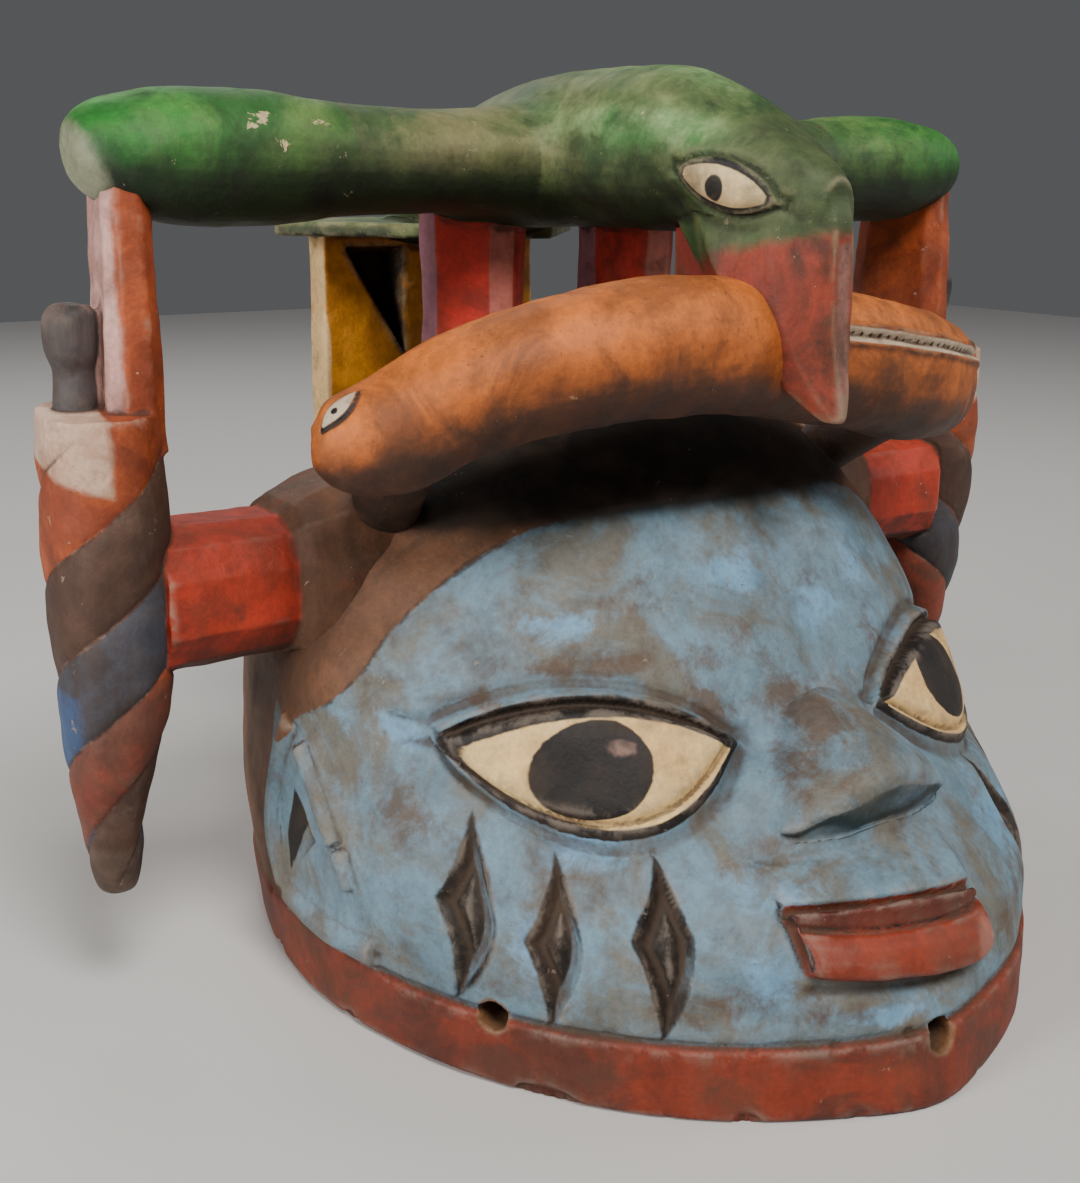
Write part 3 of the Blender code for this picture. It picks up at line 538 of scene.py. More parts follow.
def paintHead(place, normal, trees):
    s = headSettings
    x, y, z = np.abs(place[:, 0]), place[:, 1], place[:, 2]
    outer = outerShare(place)
    almond, white, _ = eyeFields(x, z)
    front = np.where((y < 0.0) & (outer > 0.5), 0.0, -20.0)
    hairline = 0.1434 - 0.0578 * (x / 0.1144) ** 3.6
    hair = np.maximum((z - hairline) * 1000.0, (y - 0.0185) * 1000.0)
    round_ = np.full(len(x), 9.0)
    for side, pupilX, pupilZ in eye["pupils"]:
        lean = pupilX - (z - pupilZ) * eye["pupilLean"]
        away = np.hypot((x - lean) / eye["pupilWide"], (z - pupilZ) / eye["pupilTall"])
        round_ = np.where(place[:, 0] * side > 0.0, away, round_)
    noseNear, earNear, lipNear = [distanceTo(trees[label], place) for label in ("nose", "ear", "lips")]
    scar = np.max([lozengeField(x, z, corners) for corners in scars], axis=0) + front
    # the down-facing underside of the nose: dark teal paint deepened as painted shade
    nostril = np.minimum(1.6 - noseNear, (-normal[:, 2] - 0.35) * 6.0) + front
    along = place[:, 0] - s["mouthX"]
    line = s["mouthLine"] + s["lineLift"] + s["mouthSlope"] * along
    gap = 0.35 - np.hypot(np.maximum(np.abs(along) - s["mouthHalf"], 0.0), z - line) * 1000.0 + front
    above = np.maximum(np.abs(z - line + 0.003) - 0.0070, 0.0)
    # thin near-black line of painted shade at the near end of the lips, under the cheek's edge
    corner = 0.3 - np.hypot(along + s["mouthHalf"] + 0.0008, above) * 1000.0
    # near-black painted shade in the carved recess of the ear
    earRecessShade = lozengeField(y, z, ((0.0030, 0.0640), (0.0070, 0.0480), (0.0065, 0.0365), (-0.0030, 0.0550)))
    earRecessShade = np.where(x > 0.100, np.minimum(earRecessShade, earNear - 0.2), -20.0)
    holes = np.full(len(x), -6.0)
    for start, out in lashAxes():
        offset = place - np.array(start)
        depth = offset @ np.array(out)
        away = np.linalg.norm(offset - np.outer(depth, np.array(out)), axis=1)
        holes = np.maximum(holes, np.where(np.abs(depth) < 0.024, (s["lashRadius"] * 1.2 - away) * 1000.0, -6.0))
    skin = np.where((outer > 0.5) & (hair < 2.0), 1.0, 0.0)
    return {
        "paintHair": hair,
        "hairEdge": 0.55 - np.abs(hair) + front,
        # near-black painted shadow of the snake on the front of the hair
        "snakeShadowOnHair": np.minimum((z - 0.1408 + 0.0050 * (x / 0.0855) ** 2) * 1000.0, (0.012 - y) * 1000.0),
        "paintRed": np.max([(s["rimHeight"] + 0.0002 - z) * 1000.0, 0.45 - lipNear,
                            mouthField(place[:, 0], z) + front], axis=0),
        # upper lip darkened as painted shade where it faces down, lower lip lightened as painted light where it faces
        # up
        "upperLipShade": np.minimum(1.0 - lipNear, (z - line) * 1000.0),
        "lowerLipLight": np.minimum(1.0 - lipNear, (line - z) * 1000.0),
        # a pale pink patch on the far end of the lower lip
        "lipPaleSpot": np.minimum(1.0 - lipNear, spots(along, z, ((0.0230, 0.0400, 0.0060, 0.0060, 1.0),)) * 6.0 - 3.0),
        # dark paint on the lids and between the lips, with painted shade in the ear recess and at the lips' near end
        "paintDark": np.max([np.min([almond - 0.3, 0.4 - white, (0.0955 - x) * 900.0], axis=0) + front,
                             corner + front, gap, earRecessShade], axis=0),
        "paintScar": scar + 0.2,
        "noseUnderTealShade": nostril,
        "paintCream": white + front,
        "paintPupil": np.minimum((1.0 - round_) * 12.0, white + 0.3) + front,
        # pale pink spot on the near pupil: a painted highlight, partly worn paint
        "pupilGlintAndWear": spots(place[:, 0], z, ((-0.0612, 0.0890, 0.0042, 0.0020, 1.0),)) * 6.0 - 3.0,
        "paintWood": np.maximum((0.5 - outer) * 6.0, holes),
        "earGrime": np.where((x > 0.100) & (earNear > 0.15), 1.2 - earNear, -6.0),
        # less of the hollows' painted shade beside the nose
        "openness": 1.0 - 0.85 * smoothStep(9.0 - noseNear, 0.0, 4.0) * smoothStep(normal[:, 2], -0.4, -0.1),
        "grimeAndShade": spots(place[:, 0], z, s["grimeAndShade"]) * skin,
        "bright": spots(place[:, 0], z, s["bright"]) * skin,
    }


print("head")
head = fuse("head", headForms(), headSettings, sculptHead, paintHead)


# snake across the brow

snakeSettings = {
    # x, y, middle height, half height, half depth, from the near tip to the far tip
    "rows": (
        (-0.1230, -0.0260, 0.1655, 0.0050, 0.0060),
        (-0.1180, -0.0290, 0.1660, 0.0115, 0.0120),
        (-0.1060, -0.0355, 0.1690, 0.0150, 0.0160),
        (-0.0880, -0.0450, 0.1795, 0.0155, 0.0180),
        (-0.0600, -0.0550, 0.1870, 0.0175, 0.0190),
        (-0.0300, -0.0575, 0.1888, 0.0180, 0.0180),
        (0.0000, -0.0565, 0.1857, 0.0185, 0.0165),
        (0.0300, -0.0565, 0.1812, 0.0190, 0.0180),
        (0.0560, -0.0530, 0.1758, 0.0195, 0.0185),
        (0.0780, -0.0440, 0.1715, 0.0185, 0.0170),
        (0.0930, -0.0350, 0.1690, 0.0155, 0.0140),
        (0.1020, -0.0290, 0.1675, 0.0110, 0.0100),
        (0.1060, -0.0260, 0.1665, 0.0045, 0.0045),
    ),
    # x, y, height and radius of a foot, from the snake down to the crown
    "foot": ((0.0960, -0.0270, 0.1660, 0.0110), (0.0890, -0.0050, 0.1490, 0.0100), (0.0800, 0.0120, 0.1330, 0.0090)),
    "propHalf": 0.0075, "propFront": -0.0460, "propBack": -0.0240, "propFoot": 0.1850, "propTop": 0.2300,
    # mouth slit on the far end: x and height
    "mouth": ((0.0060, 0.1922), (0.0300, 0.1893), (0.0578, 0.1850), (0.0850, 0.1802), (0.1040, 0.1745)),
    # eye on the near end: middle, direction of its length, half length and half width
    "eyeAt": (-0.1205, -0.0357, 0.1760), "eyeAlong": (-0.69, 0.12, -0.71), "eyeOut": (-0.40, -0.42, 0.81),
    "eyeLong": 0.0068, "eyeWide": 0.0030,
    "voxel": 0.0008, "softening": 3, "triangles": 120000,
}


def snakeForms():
    rows = denseRows(snakeSettings["rows"], 6)
    rings = []
    for index, (x, y, z, tall, deep) in enumerate(rows):
        before, after = rows[max(index - 1, 0)], rows[min(index + 1, len(rows) - 1)]
        along = Vector(after[:3]) - Vector(before[:3])
        out = Vector((0, 0, 1)).cross(along).normalized()
        up = along.cross(out).normalized()
        rings.append(ovalRing((x, y, z), -out * deep, up * tall, 2.15, 40))
    forms = [("snake", ringForm(rings))]
    for side in (-1, 1):
        foot = denseRows(snakeSettings["foot"], 5)
        rings = []
        for index, (x, y, z, radius) in enumerate(foot):
            before, after = foot[max(index - 1, 0)], foot[min(index + 1, len(foot) - 1)]
            along = Vector(after[:3]) - Vector(before[:3])
            across = along.cross(Vector((0, 0, 1))).normalized()
            up = across.cross(along).normalized()
            turn = Vector((side, 1, 1))
            rings.append(ovalRing(Vector((x, y, z)) * turn, across * radius * turn, up * radius * turn, 2.4, 24))
        forms.append(("foot", ringForm(rings)))
    s = snakeSettings
    corners = [Vector((x, y, z)) for x in (-s["propHalf"], s["propHalf"]) for y in (s["propFront"], s["propBack"])
               for z in (s["propFoot"], s["propTop"])]
    forms.append(("prop", hullForm(corners, 0.0015)))
    return forms


def slitField(place):
    # millimetres from the mouth line on the far end, front side only
    line = np.array(snakeSettings["mouth"])
    height = np.interp(place[:, 0], line[:, 0], line[:, 1])
    ends = np.maximum(line[0, 0] - place[:, 0], place[:, 0] - line[-1, 0]).clip(0.0)
    return np.hypot(place[:, 2] - height, ends) * 1000.0


def snakeEyeField(place):
    # almond on top of the near end, with the distance from its middle
    s = snakeSettings
    out, along = np.array(s["eyeOut"]), np.array(s["eyeAlong"])
    across = np.cross(out, along)
    offset = place - np.array(s["eyeAt"])
    u, v = offset @ along, offset @ across
    almond = (1.0 - (u / s["eyeLong"]) ** 2 - np.abs(v) / s["eyeWide"]) * s["eyeWide"] * 1000.0
    return np.where(np.abs(offset @ out) < 0.006, almond, -20.0), np.hypot(u - 0.0010, v) * 1000.0


def sculptSnake(place, normal, trees, pairs):
    place = filleted(place, normal, pairs, 40, 1.0, 2)
    front = smoothStep(-normal[:, 1], -0.60, -0.20) * (place[:, 0] > 0.0)
    slit, (almond, _) = slitField(place), snakeEyeField(place)
    push = -0.0018 * np.exp(-(slit / 0.8) ** 2) * front
    push += 0.0009 * np.exp(-((slit - 2.3) / 1.0) ** 2) * front
    push += 0.0007 * smoothStep(almond, -0.3, 1.0) - 0.0006 * np.exp(-((almond + 0.5) / 0.5) ** 2)
    push += unevenness(place, 0.020, 0.00080, 11) + unevenness(place, 0.0075, 0.00034, 12)
    return place + normal * push[:, None]


def paintSnake(place, normal, trees):
    slit = slitField(place)
    front = np.where((normal[:, 1] < 0.45) & (place[:, 0] > 0.0), 0.0, -20.0)
    body = distanceTo(trees["snake"], place)
    almond, fromPupil = snakeEyeField(place)
    teeth = np.abs((place[:, 0] * 1000.0) % 3.4 - 1.7) - 1.1
    return {
        # dark brown on the down-facing underside: painted shade
        "snakeUnderShade": (-normal[:, 2] - 0.16) * 7.0,
        # lighter orange on the up-facing top: painted light
        "snakeTopLight": (normal[:, 2] - 0.35) * 5.0,
        # the feet, all off the snake's body, painted near-black as the shadow they stand in; the prop is painted over
        # after
        "footShadow": body - 1.0,
        "paintProp": 1.0 - distanceTo(trees["prop"], place),
        "paintCream": np.maximum(1.9 - slit + front, almond - 0.5),
        "paintDark": np.max([np.minimum(0.62 - slit, teeth) + front, np.minimum(almond + 0.5, 0.5 - almond),
                             np.minimum(1.0 - fromPupil, almond)], axis=0),
    }


print("snake")
snake = fuse("snake", snakeForms(), snakeSettings, sculptSnake, paintSnake)


# bird: body, wings, beak, legs, tail and tail board

birdSettings = {
    # y, middle height, half width, half height
    "body": (
        (0.122, 0.2120, 0.018, 0.0050),
        (0.100, 0.2200, 0.023, 0.0110),
        (0.070, 0.2325, 0.029, 0.0190),
        (0.035, 0.2380, 0.033, 0.0225),
        (0.000, 0.2385, 0.030, 0.0225),
        (-0.022, 0.2380, 0.0260, 0.0220),
        (-0.043, 0.2345, 0.0235, 0.0172),
        (-0.058, 0.2300, 0.0198, 0.0140),
        (-0.070, 0.2260, 0.0125, 0.0118),
        (-0.080, 0.2232, 0.0055, 0.0080),
    ),
    "wingY": 0.027,
    # x, middle height, half depth, half height
    "wing": (
        (0.015, 0.2345, 0.028, 0.0185),
        (0.045, 0.2340, 0.022, 0.0150),
        (0.075, 0.2340, 0.0195, 0.0145),
        (0.110, 0.2342, 0.0205, 0.0175),
        (0.132, 0.2342, 0.0205, 0.0174),
        (0.146, 0.2345, 0.0190, 0.0150),
        (0.155, 0.2352, 0.0153, 0.0118),
        (0.1600, 0.2358, 0.0090, 0.0072),
        (0.1612, 0.2360, 0.0040, 0.0030),
    ),
    # height, front, back, half width
    "beak": (
        (0.2270, -0.0800, -0.0250, 0.0155),
        (0.2200, -0.0820, -0.0330, 0.0185),
        (0.2065, -0.0828, -0.0450, 0.0195),
        (0.1912, -0.0840, -0.0560, 0.0165),
        (0.1790, -0.0852, -0.0680, 0.0100),
        (0.1720, -0.0860, -0.0770, 0.0050),
        (0.1695, -0.0855, -0.0810, 0.0026),
    ),
    "beakRidge": 0.18,
    "tailTop": 0.2150, "tailThick": 0.0050,
    "tail": ((0.018, 0.070), (0.045, 0.100), (0.062, 0.118), (0.050, 0.138), (0.020, 0.1425)),
    "legX": 0.0303, "legY": 0.0445, "legRadius": 0.0168, "legFlat": 15.0,
    "boardHalf": 0.0440, "boardFront": 0.1180, "boardBack": 0.1300, "boardFoot": 0.085, "boardTop": 0.212,
    "eyeY": -0.0568, "eyeZ": 0.2290, "eyeLong": 0.0136, "eyeTall": 0.0062,
    # cream chips along the near wing: x, z, half length, half height, strength
    "chips": ((-0.1370, 0.2460, 0.0060, 0.0030, 1.0), (-0.1180, 0.2440, 0.0080, 0.0040, 1.0),
              (-0.1120, 0.2380, 0.0040, 0.0040, 1.0), (-0.1000, 0.2440, 0.0060, 0.0030, 0.9),
              (-0.0840, 0.2430, 0.0060, 0.0030, 0.7), (-0.0560, 0.2420, 0.0080, 0.0030, 0.6),
              (0.1250, 0.2450, 0.0100, 0.0040, 0.8), (0.0900, 0.2450, 0.0080, 0.0030, 0.6),
              (-0.0200, 0.2460, 0.0100, 0.0040, 0.6)),
    "voxel": 0.00085, "softening": 2, "triangles": 190000,
}


def birdForms():
    s = birdSettings
    rings = [ovalRing((0, y, z), (wide, 0, 0), (0, 0, tall), 2.1, 44) for y, z, wide, tall in denseRows(s["body"], 6)]
    forms = [("body", ringForm(rings))]
    for side in (-1, 1):
        rings = [ovalRing((side * x, s["wingY"], z), (0, deep, 0), (0, 0, tall), 2.2, 40)
                 for x, z, deep, tall in denseRows(s["wing"], 6)]
        forms.append(("wing", ringForm(rings)))
    rings = []
    for z, front, back, half in denseRows(s["beak"], 5):
        deep = back - front
        edge = [(s["beakRidge"] * half, front), (0.72 * half, front + 0.30 * deep), (half, front + 0.72 * deep),
                (0.80 * half, back)]
        edge += [(-x, y) for x, y in edge[::-1]]
        rings.append([Vector((x, y, z)) for x, y in edge])
    forms.append(("beak", ringForm(rings)))
    outline = [Vector((x, y, s["tailTop"])) for x, y in s["tail"]]
    outline += [Vector((-point.x, point.y, point.z)) for point in outline[::-1]]
    drop = Vector((0, 0, s["tailThick"]))
    forms.append(("tail", ringForm([[point - drop for point in outline], outline])))
    for side in (-1, 1):
        rings = []
        for z, size in ((0.148, s["legRadius"] * 1.05), (0.190, s["legRadius"]), (0.224, s["legRadius"] * 1.03)):
            angles = [math.radians(quarter + lean) for quarter in (0, 90, 180, 270)
                      for lean in (-s["legFlat"], s["legFlat"])]
            rings.append([Vector((side * s["legX"] + size * math.cos(angle), s["legY"] + size * math.sin(angle), z))
                          for angle in angles])
        forms.append(("leg", ringForm(rings)))
    corners = [Vector((x, y, z)) for x in (-s["boardHalf"], s["boardHalf"]) for y in (s["boardFront"], s["boardBack"])
               for z in (s["boardFoot"], s["boardTop"])]
    forms.append(("board", hullForm(corners, 0.0012)))
    return forms


def birdEyeField(place):
    s = birdSettings
    along, up = np.array((-0.957, -0.291)), np.array((-0.291, 0.957))
    offset = np.stack((place[:, 1] - s["eyeY"], place[:, 2] - s["eyeZ"]), axis=1)
    u, v = offset @ along, offset @ up
    bow = np.clip(1.0 - (u / s["eyeLong"]) ** 2, 0.0, 1.0) ** 0.8
    almond = np.minimum(s["eyeTall"] * bow - np.abs(v), (s["eyeLong"] - np.abs(u)) * 0.6) * 1000.0
    return np.where(np.abs(place[:, 0]) > 0.006, almond, -20.0), u, v


def hollowField(place):
    # the scooped corners in the front of the tail board
    x = np.abs(place[:, 0])
    edge = 0.1680 + (x - 0.0120) * 1.60
    return np.min([x - 0.0120, 0.0350 - x, 0.2060 - place[:, 2], (place[:, 2] - edge) * 0.53], axis=0) * 1000.0


def sculptBird(place, normal, trees, pairs):
    body = np.minimum(distanceTo(trees["body"], place), distanceTo(trees["wing"], place))
    place = filleted(place, normal, pairs, 55, smoothStep(3.0 - body, 0.0, 2.5), 3)
    almond, _, _ = birdEyeField(place)
    push = 0.0013 * smoothStep(almond, 0.3, 3.0) + 0.0011 * np.exp(-((almond - 0.3) / 0.8) ** 2)
    push -= 0.0009 * np.exp(-((almond + 1.3) / 0.9) ** 2)
    scoop = hollowField(place)
    push -= 0.0070 * smoothStep(scoop, -0.2, 1.4) * (np.abs(place[:, 1] - 0.118) < 0.002) * (normal[:, 1] < -0.8)
    push += unevenness(place, 0.024, 0.00080, 21) + unevenness(place, 0.0080, 0.00030, 22)
    return place + normal * push[:, None]


def paintBird(place, normal, trees):
    s = birdSettings
    x, y, z = np.abs(place[:, 0]), place[:, 1], place[:, 2]
    near = {label: distanceTo(trees[label], place) for label in ("body", "wing", "beak", "tail", "leg", "board")}
    flesh = np.minimum(near["body"], near["wing"])
    almond, u, v = birdEyeField(place)
    leg = np.minimum(flesh, near["tail"]) - near["leg"]
    turnOut = np.abs(np.degrees(np.arctan2((x - s["legX"]), -(y - s["legY"]))))     # 0 faces front, 90 sideways
    flat = s["legFlat"]
    board = np.minimum(np.minimum(flesh, near["tail"]), near["leg"]) - near["board"]
    # pale green spots on top of the body: painted highlight
    pale = spots(place[:, 0], z, ((-0.022, 0.2440, 0.009, 0.006, 1.0), (0.0, 0.2590, 0.012, 0.006, 0.7)))
    edge = s["boardHalf"] - 0.0007 - 0.0016 * smoothStep(0.185 - z, 0.0, 0.012)     # wider below, where it is worn
    return {
        "paintPale": (x - 0.1582 - (z - 0.2345) * 0.30) * 1000.0,
        "paintShoulder": np.minimum(x - 0.0300, 0.0880 - x) * 60.0,
        # near-black green on the down-facing undersides: painted shade
        "wingUnderShade": np.where(x > 0.034, (-normal[:, 2] + 0.10) * 5.0, (-normal[:, 2] - 0.30) * 5.0),
        # lighter green on the up- and front-facing outer wings: painted light
        "wingTopLight": np.where(x > 0.090, (normal[:, 2] + normal[:, 1] * -0.4 - 0.15) * 3.0, -4.0),
        "bodyHighlight": pale * 4.0 - 2.0 + np.where(y < 0.015, 0.0, -3.0),
        "headDull": np.minimum((-0.052 - y) * 1000.0, 6.0),
        "paintBeak": np.minimum(flesh - near["beak"] + 2.0, (0.2128 - z - (y + 0.0580) * 0.22) * 1000.0),
        "paintRidge": np.minimum((0.0022 - x) * 1000.0, (0.2150 - z) * 1000.0) + np.where(y < -0.078, 0.0, -20.0),
        "paintCream": almond - 1.15,
        "paintDark": np.maximum(np.minimum(almond + 0.4, 1.3 - almond),
                                (1.0 - np.hypot(u + 0.0010, (v + 0.0010) * 0.72) / 0.0025) * 2.5
                                + np.where(almond > 0.0, 0.0, -20.0)),
        "paintLeg": leg,
        "legLilac": np.minimum(leg, (flat - np.abs(turnOut - 90.0)) * 0.3),
        "legPink": np.minimum(leg, (flat - np.minimum(turnOut, 180.0 - turnOut)) * 0.3),
        "paintBoard": board,
        "boardEdge": np.minimum(board, (x - edge) * 1000.0),
        # near-black painted shadow of the bird above, in the scooped corners of the board
        "boardShadow": np.minimum(board, hollowField(place) + 0.6) - np.where(y > 0.126, 20.0, 0.0),
        "chipSpots": spots(place[:, 0], z, s["chips"]) * np.where(normal[:, 1] < 0.4, 1.0, 0.0),
    }


print("bird")
bird = fuse("bird", birdForms(), birdSettings, sculptBird, paintBird)


# knives: boards down from the wing tips, handles, sheaths and pegs

knifeSettings = {
    # height, x of the middle, half width, half depth
    "sheath": (
        (0.1710, 0.1586, 0.0150, 0.0225),
        (0.1500, 0.1586, 0.0155, 0.0228),
        (0.1250, 0.1584, 0.0160, 0.0226),
        (0.1050, 0.1584, 0.0150, 0.0214),
        (0.0940, 0.1592, 0.0142, 0.0200),
        (0.0830, 0.1600, 0.0128, 0.0182),
        (0.0700, 0.1616, 0.0102, 0.0146),
        (0.0580, 0.1622, 0.0078, 0.0108),
        (0.0450, 0.1618, 0.0068, 0.0094),
        (0.0385, 0.1618, 0.0056, 0.0078),
        (0.0370, 0.1618, 0.0038, 0.0052),
    ),
    "sheathY": 0.0250, "yaw": 12.0,
    "strutX": 0.1482, "strutY": 0.0290, "strutHalfX": 0.0070, "strutHalfY": 0.0185,
    "strutLevels": ((0.160, 1.04), (0.185, 1.0), (0.205, 0.96), (0.222, 0.88), (0.236, 0.86)),
    # x, y, height and radius up the handle to its pommel
    "handle": (
        (0.1638, 0.0270, 0.1640, 0.0050),
        (0.1636, 0.0270, 0.1780, 0.0050),
        (0.1636, 0.0270, 0.1815, 0.0050),
        (0.1638, 0.0270, 0.1835, 0.0056),
        (0.1639, 0.0270, 0.1865, 0.0064),
        (0.1638, 0.0270, 0.1920, 0.0066),
        (0.1634, 0.0270, 0.1955, 0.0062),
        (0.1626, 0.0270, 0.1978, 0.0048),
        (0.1620, 0.0270, 0.1984, 0.0020),
    ),
    "webHalf": 0.0030, "webTop": 0.1965,
    "pegY": 0.0235, "pegZ": 0.1200, "pegSquare": 2.7,
    # x and half thickness of a peg, from inside the head, where it flares, to inside the sheath
    "peg": ((0.0820, 0.0315), (0.1000, 0.0270), (0.1090, 0.0232), (0.1130, 0.0200), (0.1500, 0.0206)),
    # the sheath is painted as a three-strand twist: fall in one turn, strands, height of a groove
    "lead": 0.0792, "strands": 3, "twistStart": {-1: 0.1270, 1: 0.1140}, "bandStep": 0.0017,
    "voxel": 0.00075, "softening": 2, "triangles": 190000,
}


def turned(side, x, y, middleX, middleY, height):
    yaw = math.radians(knifeSettings["yaw"])
    out = x * math.cos(yaw) - y * math.sin(yaw)
    back = x * math.sin(yaw) + y * math.cos(yaw)
    return Vector((side * (middleX + out), middleY + back, height))


def knifeForms():
    s = knifeSettings
    forms = []
    for side in (-1, 1):
        rings = []
        for height, middle, wide, deep in denseRows(s["sheath"], 6):
            oval = ovalRing((0, 0, 0), (wide, 0, 0), (0, deep, 0), 2.3, 40)
            rings.append([turned(side, point.x, point.y, middle, s["sheathY"], height) for point in oval])
        forms.append(("sheath", ringForm(rings)))
        rings = []
        for z, grow in s["strutLevels"]:
            x, y = s["strutHalfX"] * grow, s["strutHalfY"] * grow
            edge = ((x, -0.72 * y), (0.45 * x, -y), (-0.45 * x, -y), (-x, -0.72 * y),
                    (-x, 0.62 * y), (-0.45 * x, y), (0.45 * x, y), (x, 0.72 * y))
            rings.append([turned(side, px, py, s["strutX"], s["strutY"], z) for px, py in edge])
        forms.append(("strut", ringForm(rings)))
        rings = [ovalRing((side * x, y, z), (radius, 0, 0), (0, radius * 1.2, 0), 2.0, 24)
                 for x, y, z, radius in denseRows(s["handle"], 4)]
        forms.append(("handle", ringForm(rings)))
        web = [Vector((side * x, s["handle"][0][1] + y, z)) for x in (s["strutX"], s["handle"][0][0])
               for y in (-s["webHalf"], s["webHalf"]) for z in (s["handle"][0][2], s["webTop"])]
        forms.append(("web", hullForm(web)))
        rings = [ovalRing((side * x, s["pegY"], s["pegZ"]), (0, half, 0), (0, 0, half), s["pegSquare"], 12,
                          math.pi / 12) for x, half in s["peg"]]
        forms.append(("peg", ringForm(rings)))
    return forms


def twistFields(place):
    # place in its strand, 0 to 1, which strand of the three, and the angle round the sheath
    s = knifeSettings
    rows = np.array(s["sheath"])[::-1]
    middle, wide, deep = [np.interp(place[:, 2], rows[:, 0], rows[:, column]) for column in (1, 2, 3)]
    out, back = np.abs(place[:, 0]) - middle, place[:, 1] - s["sheathY"]
    yaw = math.radians(s["yaw"])
    x, y = out * math.cos(yaw) + back * math.sin(yaw), back * math.cos(yaw) - out * math.sin(yaw)
    angle = np.arctan2(y / deep, x / wide)
    start = np.where(place[:, 0] < 0.0, s["twistStart"][-1], s["twistStart"][1])
    count = ((start - place[:, 2]) / s["lead"] - angle / (2.0 * math.pi)) * s["strands"]
    return count % 1.0, np.floor(count) % s["strands"], angle


def sculptKnife(place, normal, trees, pairs):
    s = knifeSettings
    pegNear = distanceTo(trees["peg"], place)
    share = smoothStep(place[:, 2], 0.198, 0.206)
    place = filleted(place, normal, pairs, 30, share, 2)
    sheath = smoothStep(1.4 - distanceTo(trees["sheath"], place), 0.0, 0.6)
    sheath *= smoothStep(pegNear, 0.4, 1.6) * smoothStep(0.1700 - place[:, 2], 0.0, 0.012)
    strand, _, _ = twistFields(place)
    round_ = np.sqrt(np.clip(1.0 - (2.0 * strand - 1.0) ** 2, 0.0, 1.0))
    push = s["bandStep"] * (round_ - 0.55) * sheath * smoothStep(place[:, 2], 0.038, 0.050)
    push += unevenness(place, 0.016, 0.00065, 31) + unevenness(place, 0.0065, 0.00032, 32)
    return place + normal * push[:, None]


def paintKnife(place, normal, trees):
    s = knifeSettings
    near = {label: distanceTo(trees[label], place) for label in ("sheath", "strut", "handle", "web", "peg")}
    strand, which, angle = twistFields(place)
    x, z, yaw = np.abs(place[:, 0]), place[:, 2], math.radians(s["yaw"])
    inside = np.minimum(strand, 1.0 - strand) * s["lead"] / s["strands"] * 780.0    # across a slanting strand
    others = np.minimum(np.minimum(near["strut"], near["handle"]), near["peg"])
    sheath = others - near["sheath"]
    local = (x - s["strutX"]) * math.cos(yaw) + (place[:, 1] - s["strutY"]) * math.sin(yaw)
    strut = np.minimum(near["sheath"], near["peg"]) - near["strut"]
    peg = np.minimum(near["sheath"], near["strut"]) - near["peg"]
    brown, blue = [np.minimum(sheath, np.where(which == strandNumber, inside, -inside)) for strandNumber in (0, 1)]
    mouth = np.min([sheath, (z - 0.1530 - (angle + 1.4) * 0.004) * 1000.0, (angle + 1.55) * 12.0], axis=0)
    return {
        "lowRed": np.minimum(sheath, (0.1020 - z) * 1000.0),
        "paintMouth": mouth,
        "paintBrown": brown - np.where(mouth > 0.0, 20.0, 0.0),
        "paintBlue": blue - np.where(z > 0.150, 20.0, 0.0),
        "brightBlue": np.min([blue, (0.098 - z) * 1000.0, (angle + 0.75) * 8.0], axis=0),
        "paintTip": np.minimum(sheath, (0.0520 - z) * 1000.0),
        "strutPale": np.minimum(strut, (local - 0.0040) * 1000.0),
        "paintHandle": np.minimum(near["strut"], np.minimum(near["web"], near["sheath"])) - near["handle"] + 0.2,
        "paintPeg": peg,
        "pegFlare": np.minimum(0.9 - near["peg"], (0.1128 - x) * 1000.0),
        # down-facing underside of the peg darkened as painted shade
        "pegUnderShade": np.minimum(peg, (-normal[:, 2] - 0.45) * 6.0),
        # pale lines along the strand borders: worn paint and painted highlight on the rounded edges
        "strandEdgeWearAndSheen": np.minimum(sheath, 0.8 - inside),
    }


print("knives")
knives = fuse("knives", knifeForms(), knifeSettings, sculptKnife, paintKnife)


# paint: small node tools, two shared groups, then one material a piece

def node(tree, kind, inputs=None, **settings):
    item = tree.nodes.new(kind)
    for key, value in settings.items():
        setattr(item, key, value)
    for key, value in (inputs or {}).items():
        if isinstance(value, bpy.types.NodeSocket):
            tree.links.new(value, item.inputs[key])
        else:
            item.inputs[key].default_value = value
    return item


def sums(tree, operation, first, second=0.0, third=0.0, clamp=False):
    return node(tree, "ShaderNodeMath", {0: first, 1: second, 2: third}, operation=operation,
                use_clamp=clamp).outputs[0]


def ramp(tree, value, low, high, fromValue=0.0, toValue=1.0):
    return node(tree, "ShaderNodeMapRange", {0: value, 1: low, 2: high, 3: fromValue, 4: toValue},
                interpolation_type="SMOOTHSTEP").outputs[0]


def blend(tree, share, first, second, kind="MIX"):
    mix = tree.nodes.new("ShaderNodeMix")
    mix.data_type, mix.blend_type = "RGBA", kind
    for index, value in ((0, share), (6, first), (7, second)):
        if isinstance(value, bpy.types.NodeSocket):
            tree.links.new(value, mix.inputs[index])
        elif index == 0:
            mix.inputs[index].default_value = value
        else:
            mix.inputs[index].default_value = (*value, 1.0)
    return mix.outputs[2]


def cloud(tree, place, scale, detail=4.0, rough=0.6, twist=0.0):
    return node(tree, "ShaderNodeTexNoise", {"Vector": place, "Scale": scale, "Detail": detail, "Roughness": rough,
                                             "Distortion": twist}).outputs[0]


def field(tree, name):
    return node(tree, "ShaderNodeAttribute", attribute_name=name).outputs["Fac"]


def objectPlace(tree):
    return node(tree, "ShaderNodeTexCoord").outputs["Object"]


